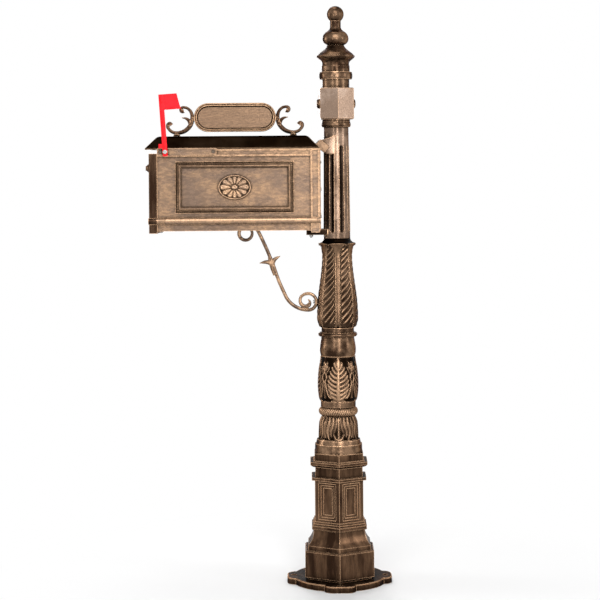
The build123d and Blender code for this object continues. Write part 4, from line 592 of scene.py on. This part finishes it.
for side, place in SIDES:
    bm = bmesh.new()
    relief_layer = bm.verts.layers.float.new("relief")
    mid_x, mid_z = sum(ROPE_X) / 2, sum(ROPE_Z) / 2
    half_l, half_h = (ROPE_X[1] - ROPE_X[0]) / 2, (ROPE_Z[1] - ROPE_Z[0]) / 2
    for quarter in range(4):
        reach, away = (half_l, half_h) if quarter % 2 == 0 else (half_h, half_l)
        made = bmesh.ops.create_grid(bm, x_segments=int(2 * reach / GRID), y_segments=26, size=1.0)
        turn = quarter * pi / 2
        for vert in made["verts"]:
            lie, inward = vert.co.x, (vert.co.y + 1) / 2 * FRAME_BAND
            rise, vert[relief_layer] = rope_frame(lie * reach, inward)
            run, out = lie * (reach - inward), away - inward
            vert.co = (
                mid_x + run * cos(turn) - out * sin(turn),
                side * (FIELD_Y + (rise if 0 < inward < FRAME_BAND else -0.0006)),
                mid_z + run * sin(turn) + out * cos(turn),
            )
    bmesh.ops.remove_doubles(bm, verts=bm.verts, dist=2e-5)
    closed_back(bm, side)
    bmesh.ops.recalc_face_normals(bm, faces=bm.faces)
    for face in bm.faces:
        if side * face.normal.y < -0.5:
            face.normal_flip()
    cast(bm, place + "_rope", "box_bronze", rope_bronze)

# ---- Base beads -------------------------------------------------------------------------------
# The round moulding along the foot of each side panel, with a painted highlight on its upper half and
# painted shade in the creases above and below it. A skin over the panel's own bead.
BEAD_X, BEAD_Z, BEAD_R = (-0.5255, -0.0605), 1.1265, 0.0098
BEAD_PAINTED_SHADE, BEAD_RUB, BEAD_PAINTED_HIGHLIGHT = 0.12, 0.58, 0.42
for side, place in SIDES:
    bm = bmesh.new()
    relief_layer = bm.verts.layers.float.new("relief")
    bmesh.ops.create_grid(bm, x_segments=160, y_segments=24, size=1.0)
    for vert in bm.verts:
        # A painted highlight on the bead's upper half, and painted shade in the creases beside it.
        turn, lie = vert.co.y * pi / 2, vert.co.x
        painted_highlight = BEAD_RUB + BEAD_PAINTED_HIGHLIGHT * max(cos(turn - 0.45), 0) ** 3
        vert[relief_layer] = BEAD_PAINTED_SHADE if abs(turn) > 1.25 else painted_highlight
        vert.co = (
            sum(BEAD_X) / 2 + lie * (BEAD_X[1] - BEAD_X[0]) / 2,
            side * (FIELD_Y + (BEAD_R - 0.0003) * cos(turn)), BEAD_Z + BEAD_R * sin(turn),
        )
    closed_back(bm, side)
    bmesh.ops.holes_fill(bm, edges=[edge for edge in bm.edges if edge.is_boundary], sides=0)
    bmesh.ops.recalc_face_normals(bm, faces=bm.faces)
    cast(bm, place + "_base_bead", "box_bronze", box_carved)

# ---- Scroll brace -----------------------------------------------------------------------------
# A bar forged to a taper, with a loop under the floor, an acanthus leaf wrapped round its knee and
# a coil that leans on the vase. Bolted to the floor and to the vase.


def bar_along(bm, path, widths, depths, segments=16, squareness=0.45):
    """A rounded bar whose section is widths by depths along a path of (x, z) points in mm."""
    points = np.array(path, float) / 1000
    runs = np.gradient(points, axis=0)
    runs /= np.linalg.norm(runs, axis=1)[:, None]
    length = np.concatenate([[0], np.cumsum(np.linalg.norm(np.diff(points, axis=0), axis=1))])
    share = length / length[-1]
    made = bmesh.ops.create_grid(bm, x_segments=len(points) - 1, y_segments=segments, size=1.0)
    half_w = np.interp(share, np.linspace(0, 1, len(widths)), widths) / 2000
    half_d = np.interp(share, np.linspace(0, 1, len(depths)), depths) / 2000
    for vert in made["verts"]:
        k = round((vert.co.x + 1) / 2 * (len(points) - 1))
        turn = vert.co.y * pi
        wide = half_w[k] * np.sign(cos(turn)) * abs(cos(turn)) ** squareness
        deep = half_d[k] * np.sign(sin(turn)) * abs(sin(turn)) ** squareness
        vert.co = (points[k][0] - runs[k][1] * wide, deep, points[k][1] + runs[k][0] * wide)
    bmesh.ops.remove_doubles(bm, verts=made["verts"], dist=1e-5)
    open_edges = [edge for edge in bm.edges if edge.is_boundary]
    if open_edges:
        bmesh.ops.holes_fill(bm, edges=open_edges, sides=segments * 2)


def smooth_path(points, count):
    """A smooth path through (x, z) points in mm."""
    return [point * 1000 for point in outline_curve(points, count)]


def arc(centre, radius, start, end, steps):
    """Points on an arc in the bar's plane, in mm and degrees."""
    turns = [radians(start + (end - start) * k / steps) for k in range(steps + 1)]
    return [(centre[0] + radius * cos(t), centre[1] + radius * sin(t)) for t in turns]


brace_bronze = bronze("brace_bronze_rubbed", SHAFT_BROWN, BOX_RUB, mottle=24.0, rub_share=0.8, metal=0.6)
brace_path = arc((-284.6, 1083), 20.5, 40, -270, 16) + arc((-270.6, 1073.5), 30, 90, 25, 4)
brace_path += [(-222.3, 1041), (-207, 1004), (-199, 984), (-183, 937)]
brace_path += arc((-91.2, 921.5), 78, 200, 270, 6)[:-1] + arc((-91.2, 869), 25.5, -90, 90, 10)
brace_path += [(-104, 892), (-113.5, 884), (-116.5, 873), (-113, 862), (-104, 855), (-94, 855.5)]
brace_path += [(-87, 862.5), (-86.5, 870.5), (-92, 877)]
brace_widths = [8, 9.5, 10.5] + [11] * 22 + [10.5, 10, 9.5, 9.5, 12.5, 14, 2]
bm = bmesh.new()
bar_along(bm, smooth_path(brace_path, 330), brace_widths, [12, 12.5, 12.5, 12.5, 12.5, 12, 10])
for line, leaf_widths in (
    ([(-201, 978), (-208, 990), (-222, 993.5), (-242, 990)], [10, 15, 11, 1.5]),
    ([(-201, 978), (-200, 993), (-193, 1003), (-177, 1012)], [10, 15, 11, 1.5]),
    ([(-211, 1009), (-205, 992), (-199, 972), (-194, 952)], [11, 17, 17, 10.5]),
):
    bar_along(bm, smooth_path(line, 26), leaf_widths, [9, 15, 9, 2.5], squareness=0.8)
bmesh.ops.recalc_face_normals(bm, faces=bm.faces)
cast(bm, "scroll_brace_forged", "box_bronze", brace_bronze, "scroll_brace")

# ---- Roof -------------------------------------------------------------------------------------
# Cast in one piece and left almost black; its edges are a little rubbed.
ROOF_BLACK = (0.0055, 0.0034, 0.0022, 1)
ROOF_RUB = (0.016, 0.0105, 0.007, 1)
roof_black = bronze("roof_black_bronze", ROOF_BLACK, ROOF_RUB, wear=0.35, roughness=(0.30, 0.44), metal=1.0,
                    tint=(0.01, 0.008, 0.006, 1))
clad(roof_black, "roof")

# ---- Address plaque ---------------------------------------------------------------------------
# A blank panel brushed along its length, held in a stadium-shaped cast frame.
PLAQUE_BROWN = (0.225, 0.143, 0.092, 1)
PLAQUE_RUB = (0.285, 0.178, 0.110, 1)
plaque_bronze = bronze("plaque_bronze_brushed", PLAQUE_BROWN, PLAQUE_RUB, mottle=12.0, rub_share=0.6,
                       metal=0.5, drawn=7.0)
clad(plaque_bronze, "plaque_panel")

plaque_carved = bronze("plaque_bronze_carved", POST_BROWN, BOX_RUB, rub_share=0.7, metal=0.6, carved=True)
PLAQUE_MID, PLAQUE_HALF_L, PLAQUE_HALF_H = (-0.315, 1.445), 0.128, 0.045
# The groove and the lip under the panel get rub 0 and come out near-black; on the lip this is painted shade.
rims = [  # inward, proud, rub: an outer bead, a groove, an inner bead and the lip under the panel
    (0.0, 0.0032, 0.2), (0.0006, 0.0045, 0.7), (0.0020, 0.0050, 1.0), (0.0034, 0.0046, 0.8),
    (0.0042, 0.0031, 0.0), (0.0060, 0.0030, 0.0), (0.0068, 0.0042, 0.8), (0.0080, 0.0045, 1.0),
    (0.0092, 0.0040, 0.6), (0.0100, 0.0028, 0.0), (0.0128, 0.0027, 0.0),
]
section = rims + [(inward, -proud, rub) for inward, proud, rub in reversed(rims)]
bm = bmesh.new()
relief_layer = bm.verts.layers.float.new("relief")
END_STEPS = 40
ends = [(side, radians(180 * k / END_STEPS - 90 * side)) for side in (1, -1) for k in range(END_STEPS + 1)]
rings = []
for side, turn in ends:
    ring = []
    for inward, proud, rub in section:
        radius = PLAQUE_HALF_H - inward
        x = PLAQUE_MID[0] + side * (PLAQUE_HALF_L - PLAQUE_HALF_H) + radius * cos(turn)
        ring.append(bm.verts.new((x, proud, PLAQUE_MID[1] + radius * sin(turn))))
        ring[-1][relief_layer] = rub
    rings.append(ring)
for k, ring in enumerate(rings):
    for j in range(len(section)):
        bm.faces.new((rings[k - 1][j - 1], rings[k - 1][j], ring[j], ring[j - 1]))
bmesh.ops.recalc_face_normals(bm, faces=bm.faces)
cast(bm, "plaque_frame_rimmed", "box_bronze", plaque_carved, "plaque_frame")

# ---- C-scrolls --------------------------------------------------------------------------------
# Cast bars that swell to the middle of the C, with an eye at both ends, a leaf horn inside and a
# foot that is screwed to the roof. A short neck joins each to the plaque's frame.
scroll_line = [
    (-474, 1466.5), (-480, 1465), (-483.5, 1470.5), (-480, 1476), (-472, 1477), (-461.5, 1473.5),
    (-451.5, 1462), (-447.9, 1443.6), (-454, 1421), (-471.5, 1403.8), (-494, 1397.5), (-511.5, 1401.5),
    (-522.5, 1412), (-524.5, 1421.5), (-518.5, 1426.5), (-513.8, 1421),
]
scroll_parts = (
    (scroll_line, [14, 10, 9, 9, 10, 12, 13.5, 14, 14, 13.5, 12.5, 11.5, 10, 9.5, 12, 15], 110),
    ([(-453, 1421), (-458, 1435), (-467.5, 1442.5), (-480.5, 1445)], [13, 12, 8, 2], 22),
    ([(-496.5, 1387), (-496.5, 1392), (-496.5, 1398)], [24, 17, 12], 8),
    ([(-449, 1441.5), (-446, 1441.5), (-441, 1441.5)], [13, 8, 13], 8),
)
for node, mirrored in (("street_scroll", False), ("post_scroll", True)):
    bm = bmesh.new()
    for line, thick, count in scroll_parts:
        if mirrored:
            line = [(2000 * PLAQUE_MID[0] - x, z) for x, z in line]
        bar_along(bm, smooth_path(line, count), thick, [7, 8, 8, 7], squareness=0.7)
    bmesh.ops.recalc_face_normals(bm, faces=bm.faces)
    cast(bm, node + "_cast", "box_bronze", door_shade_and_scroll_bronze, node)

# ---- Steel fixings ----------------------------------------------------------------------------
# Zinc-plated steel: bright on the flag's rivet and the spring catch, dull on the core tube, the floor
# and the fixings that carry the load, and dark on the screws of the flag's bar.


def steel(name, colour, roughness):
    """Zinc-plated steel with fine scratches and a little tarnish."""
    material = bpy.data.materials.new(name)
    material.use_nodes = True
    nodes, links = material.node_tree.nodes, material.node_tree.links
    shader = nodes["Principled BSDF"]
    shader.inputs["Metallic"].default_value = 1.0
    place = nodes.new("ShaderNodeTexCoord")
    texture = nodes.new("ShaderNodeTexNoise")
    texture.inputs["Scale"].default_value = 180.0
    texture.inputs["Detail"].default_value = 5.0
    links.new(place.outputs["Object"], texture.inputs["Vector"])
    ramp = nodes.new("ShaderNodeValToRGB")
    ramp.color_ramp.elements[0].position, ramp.color_ramp.elements[1].position = 0.35, 0.7
    ramp.color_ramp.elements[0].color = tuple(0.55 * c for c in colour) + (1,)
    ramp.color_ramp.elements[1].color = tuple(colour) + (1,)
    links.new(texture.outputs["Fac"], ramp.inputs["Fac"])
    links.new(ramp.outputs["Color"], shader.inputs["Base Color"])
    scatter = nodes.new("ShaderNodeMapRange")
    scatter.inputs["To Min"].default_value, scatter.inputs["To Max"].default_value = roughness
    links.new(texture.outputs["Fac"], scatter.inputs["Value"])
    links.new(scatter.outputs["Result"], shader.inputs["Roughness"])
    bump = nodes.new("ShaderNodeBump")
    bump.inputs["Strength"].default_value = 0.1
    bump.inputs["Distance"].default_value = 0.0004
    links.new(texture.outputs["Fac"], bump.inputs["Height"])
    links.new(bump.outputs["Normal"], shader.inputs["Normal"])
    return material


bright_zinc = steel("bright_zinc", (0.58, 0.58, 0.57), (0.2, 0.4))
dull_zinc = steel("dull_zinc", (0.33, 0.32, 0.31), (0.35, 0.6))
dark_steel = steel("dark_steel", (0.12, 0.095, 0.075), (0.3, 0.5))
clad(dark_steel, "flag_bar_screws")
clad(bright_zinc, "flag_rivet", "catch_clip", "catch_screws", "catch_tongue")
clad(dull_zinc, "core_tube", "top_plug", "finial_stud", "collar_bolt", "floor_pan", "case_screws",
     "rear_screws", "roof_screws", "arm_bolts", "arm_nuts", "pad_bolt", "brace_bolts", "knob_screw",
     "hinge_pin", "hinge_brackets", "hinge_screws", "scroll_screws")

# ---- Flag -------------------------------------------------------------------------------------
# Stamped steel in signal-red enamel: a little deeper where it has faded less, with a fine orange
# peel and the enamel darker along the edges.
flag_red = bpy.data.materials.new("flag_red_enamel")
flag_red.use_nodes = True
flag_nodes, flag_links = flag_red.node_tree.nodes, flag_red.node_tree.links
flag_shader = flag_nodes["Principled BSDF"]
flag_shader.inputs["Specular IOR Level"].default_value = 0.12
flag_place = flag_nodes.new("ShaderNodeTexCoord")
faded = flag_nodes.new("ShaderNodeTexNoise")
faded.inputs["Scale"].default_value, faded.inputs["Detail"].default_value = 26.0, 4.0
flag_links.new(flag_place.outputs["Object"], faded.inputs["Vector"])
enamel = flag_nodes.new("ShaderNodeValToRGB")
enamel.color_ramp.elements[0].position, enamel.color_ramp.elements[1].position = 0.35, 0.65
enamel.color_ramp.elements[0].color = (0.82, 0.010, 0.016, 1)
enamel.color_ramp.elements[1].color = (0.95, 0.018, 0.028, 1)
flag_links.new(faded.outputs["Fac"], enamel.inputs["Fac"])
flag_round = flag_nodes.new("ShaderNodeBevel")
flag_round.inputs["Radius"].default_value = 0.0012
flag_flat = flag_nodes.new("ShaderNodeNewGeometry")
flag_turned = flag_nodes.new("ShaderNodeVectorMath")
flag_turned.operation = "DOT_PRODUCT"
flag_links.new(flag_round.outputs["Normal"], flag_turned.inputs[0])
flag_links.new(flag_flat.outputs["Normal"], flag_turned.inputs[1])
flag_edge = flag_nodes.new("ShaderNodeMapRange")
flag_edge.inputs["From Min"].default_value, flag_edge.inputs["From Max"].default_value = 0.99, 0.80
flag_edge.inputs["To Max"].default_value = 0.5
flag_links.new(flag_turned.outputs["Value"], flag_edge.inputs["Value"])
flag_edge_darkened = flag_nodes.new("ShaderNodeMix")
flag_edge_darkened.data_type = "RGBA"
flag_edge_darkened.inputs[MIX_B].default_value = (0.45, 0.004, 0.008, 1)
flag_links.new(flag_edge.outputs["Result"], flag_edge_darkened.inputs["Factor"])
flag_links.new(enamel.outputs["Color"], flag_edge_darkened.inputs[MIX_A])
flag_links.new(flag_edge_darkened.outputs[MIX_OUT], flag_shader.inputs["Base Color"])
flag_gloss = flag_nodes.new("ShaderNodeMapRange")
flag_gloss.inputs["To Min"].default_value, flag_gloss.inputs["To Max"].default_value = 0.38, 0.52
flag_links.new(faded.outputs["Fac"], flag_gloss.inputs["Value"])
flag_links.new(flag_gloss.outputs["Result"], flag_shader.inputs["Roughness"])
peel = flag_nodes.new("ShaderNodeTexNoise")
peel.inputs["Scale"].default_value = 320.0
flag_links.new(flag_place.outputs["Object"], peel.inputs["Vector"])
flag_bump = flag_nodes.new("ShaderNodeBump")
flag_bump.inputs["Strength"].default_value, flag_bump.inputs["Distance"].default_value = 0.12, 0.0004
flag_links.new(peel.outputs["Fac"], flag_bump.inputs["Height"])
flag_links.new(flag_bump.outputs["Normal"], flag_shader.inputs["Normal"])
clad(flag_red, "flag")

# ---- Camera, floor and lights -----------------------------------------------------------------
# A level camera with a long lens, in front of the box's side and a little above the middle of the
# post; the frame is shifted down so that the whole post is in it.
camera = bpy.data.objects.new("camera", bpy.data.cameras.new("camera"))
bpy.context.scene.collection.objects.link(camera)
bpy.context.scene.camera = camera
camera.data.sensor_width = 36.0
camera.data.lens = 102.82
camera.data.shift_y = -0.2256
camera.data.clip_start, camera.data.clip_end = 0.1, 60.0
yaw, roll = radians(-0.351), radians(-0.442)
ahead = Vector((sin(yaw), cos(yaw), 0))
camera.matrix_world = (
    Matrix.Translation((-0.0807, -5.3376, 1.2962))
    @ ahead.to_track_quat("-Z", "Y").to_matrix().to_4x4()
    @ Matrix.Rotation(roll, 4, "Z")
)

# The floor is shaded near the foot and turns plain white away from it.
floor_bm = bmesh.new()
bmesh.ops.create_grid(floor_bm, x_segments=1, y_segments=1, size=14.0)
floor_mesh = bpy.data.meshes.new("floor")
floor_bm.to_mesh(floor_mesh)
floor_bm.free()
floor = bpy.data.objects.new("floor", floor_mesh)
bpy.context.scene.collection.objects.link(floor)
floor_white = bpy.data.materials.new("floor_white")
floor_white.use_nodes = True
floor_shader = floor_white.node_tree.nodes["Principled BSDF"]
floor_shader.inputs["Base Color"].default_value = (0.80, 0.80, 0.80, 1)
floor_shader.inputs["Roughness"].default_value = 0.9
floor_nodes, floor_links = floor_white.node_tree.nodes, floor_white.node_tree.links
floor_place = floor_nodes.new("ShaderNodeTexCoord")
from_post = floor_nodes.new("ShaderNodeVectorMath")
from_post.operation = "LENGTH"
floor_links.new(floor_place.outputs["Object"], from_post.inputs[0])
fade = floor_nodes.new("ShaderNodeMapRange")
fade.interpolation_type = "SMOOTHSTEP"
fade.inputs["From Min"].default_value, fade.inputs["From Max"].default_value = 0.35, 1.1
floor_links.new(from_post.outputs["Value"], fade.inputs["Value"])
floor_path = floor_nodes.new("ShaderNodeLightPath")
seen_direct = floor_nodes.new("ShaderNodeMath")
seen_direct.operation = "MAXIMUM"
floor_links.new(floor_path.outputs["Is Camera Ray"], seen_direct.inputs[0])
floor_links.new(floor_path.outputs["Is Glossy Ray"], seen_direct.inputs[1])
seen_floor = floor_nodes.new("ShaderNodeMath")
seen_floor.operation = "MULTIPLY"
floor_links.new(fade.outputs["Result"], seen_floor.inputs[0])
floor_links.new(seen_direct.outputs["Value"], seen_floor.inputs[1])
white = floor_nodes.new("ShaderNodeEmission")
blend = floor_nodes.new("ShaderNodeMixShader")
floor_links.new(seen_floor.outputs["Value"], blend.inputs["Fac"])
floor_links.new(floor_shader.outputs["BSDF"], blend.inputs[1])
floor_links.new(white.outputs["Emission"], blend.inputs[2])
floor_links.new(blend.outputs["Shader"], floor_nodes["Material Output"].inputs["Surface"])
floor.data.materials.append(floor_white)

# The backdrop is full white where the camera and reflections see it, and lights the rest dimly.
world = bpy.data.worlds.new("studio")
bpy.context.scene.world = world
world.use_nodes = True
sky = world.node_tree
backdrop = sky.nodes["Background"]
backdrop.inputs["Color"].default_value = (1, 1, 1, 1)
path = sky.nodes.new("ShaderNodeLightPath")
glossy = sky.nodes.new("ShaderNodeMath")
seen = sky.nodes.new("ShaderNodeMath")
glossy.operation = seen.operation = "MAXIMUM"
sky.links.new(path.outputs["Is Camera Ray"], glossy.inputs[0])
sky.links.new(path.outputs["Is Glossy Ray"], glossy.inputs[1])
sky.links.new(glossy.outputs["Value"], seen.inputs[0])
sky.links.new(path.outputs["Is Transmission Ray"], seen.inputs[1])
level = sky.nodes.new("ShaderNodeMapRange")
level.inputs["To Min"].default_value = 0.22
level.inputs["To Max"].default_value = 1.0
sky.links.new(seen.outputs["Value"], level.inputs["Value"])
sky.links.new(level.outputs["Result"], backdrop.inputs["Strength"])


def softbox(name, place, aim, width, height, watts):
    """A rectangular studio light."""
    data = bpy.data.lights.new(name, "AREA")
    data.shape, data.size, data.size_y, data.energy = "RECTANGLE", width, height, watts
    lamp = bpy.data.objects.new(name, data)
    bpy.context.scene.collection.objects.link(lamp)
    lamp.location = place
    lamp.rotation_euler = (Vector(aim) - Vector(place)).to_track_quat("-Z", "Y").to_euler()


softbox("key", (0.75, -4.4, 1.4), (0, 0, 1.0), 0.8, 2.7, 70)
softbox("left_strip", (-1.95, -4.2, 1.4), (0, 0, 1.0), 0.5, 2.7, 32)
softbox("front_top", (-0.2, -3.0, 3.7), (-0.2, 0, 1.0), 2.4, 2.0, 85)
softbox("fill", (3.6, -1.6, 1.8), (0, 0, 1.0), 0.6, 2.0, 25)
softbox("top", (-0.2, 0.4, 4.4), (-0.1, 0, 1.0), 1.4, 1.4, 25)
softbox("back_top", (-0.2, 3.0, 3.7), (-0.2, 0, 1.0), 2.4, 2.0, 75)
softbox("back_key", (-0.8, 4.4, 1.4), (0, 0, 1.0), 0.8, 2.7, 65)
softbox("back_strip", (1.95, 4.2, 1.4), (0, 0, 1.0), 0.5, 2.7, 30)
softbox("street_side", (-4.2, 0.6, 1.6), (-0.1, 0, 1.0), 0.7, 2.0, 40)
bpy.context.scene.view_settings.view_transform = "Standard"
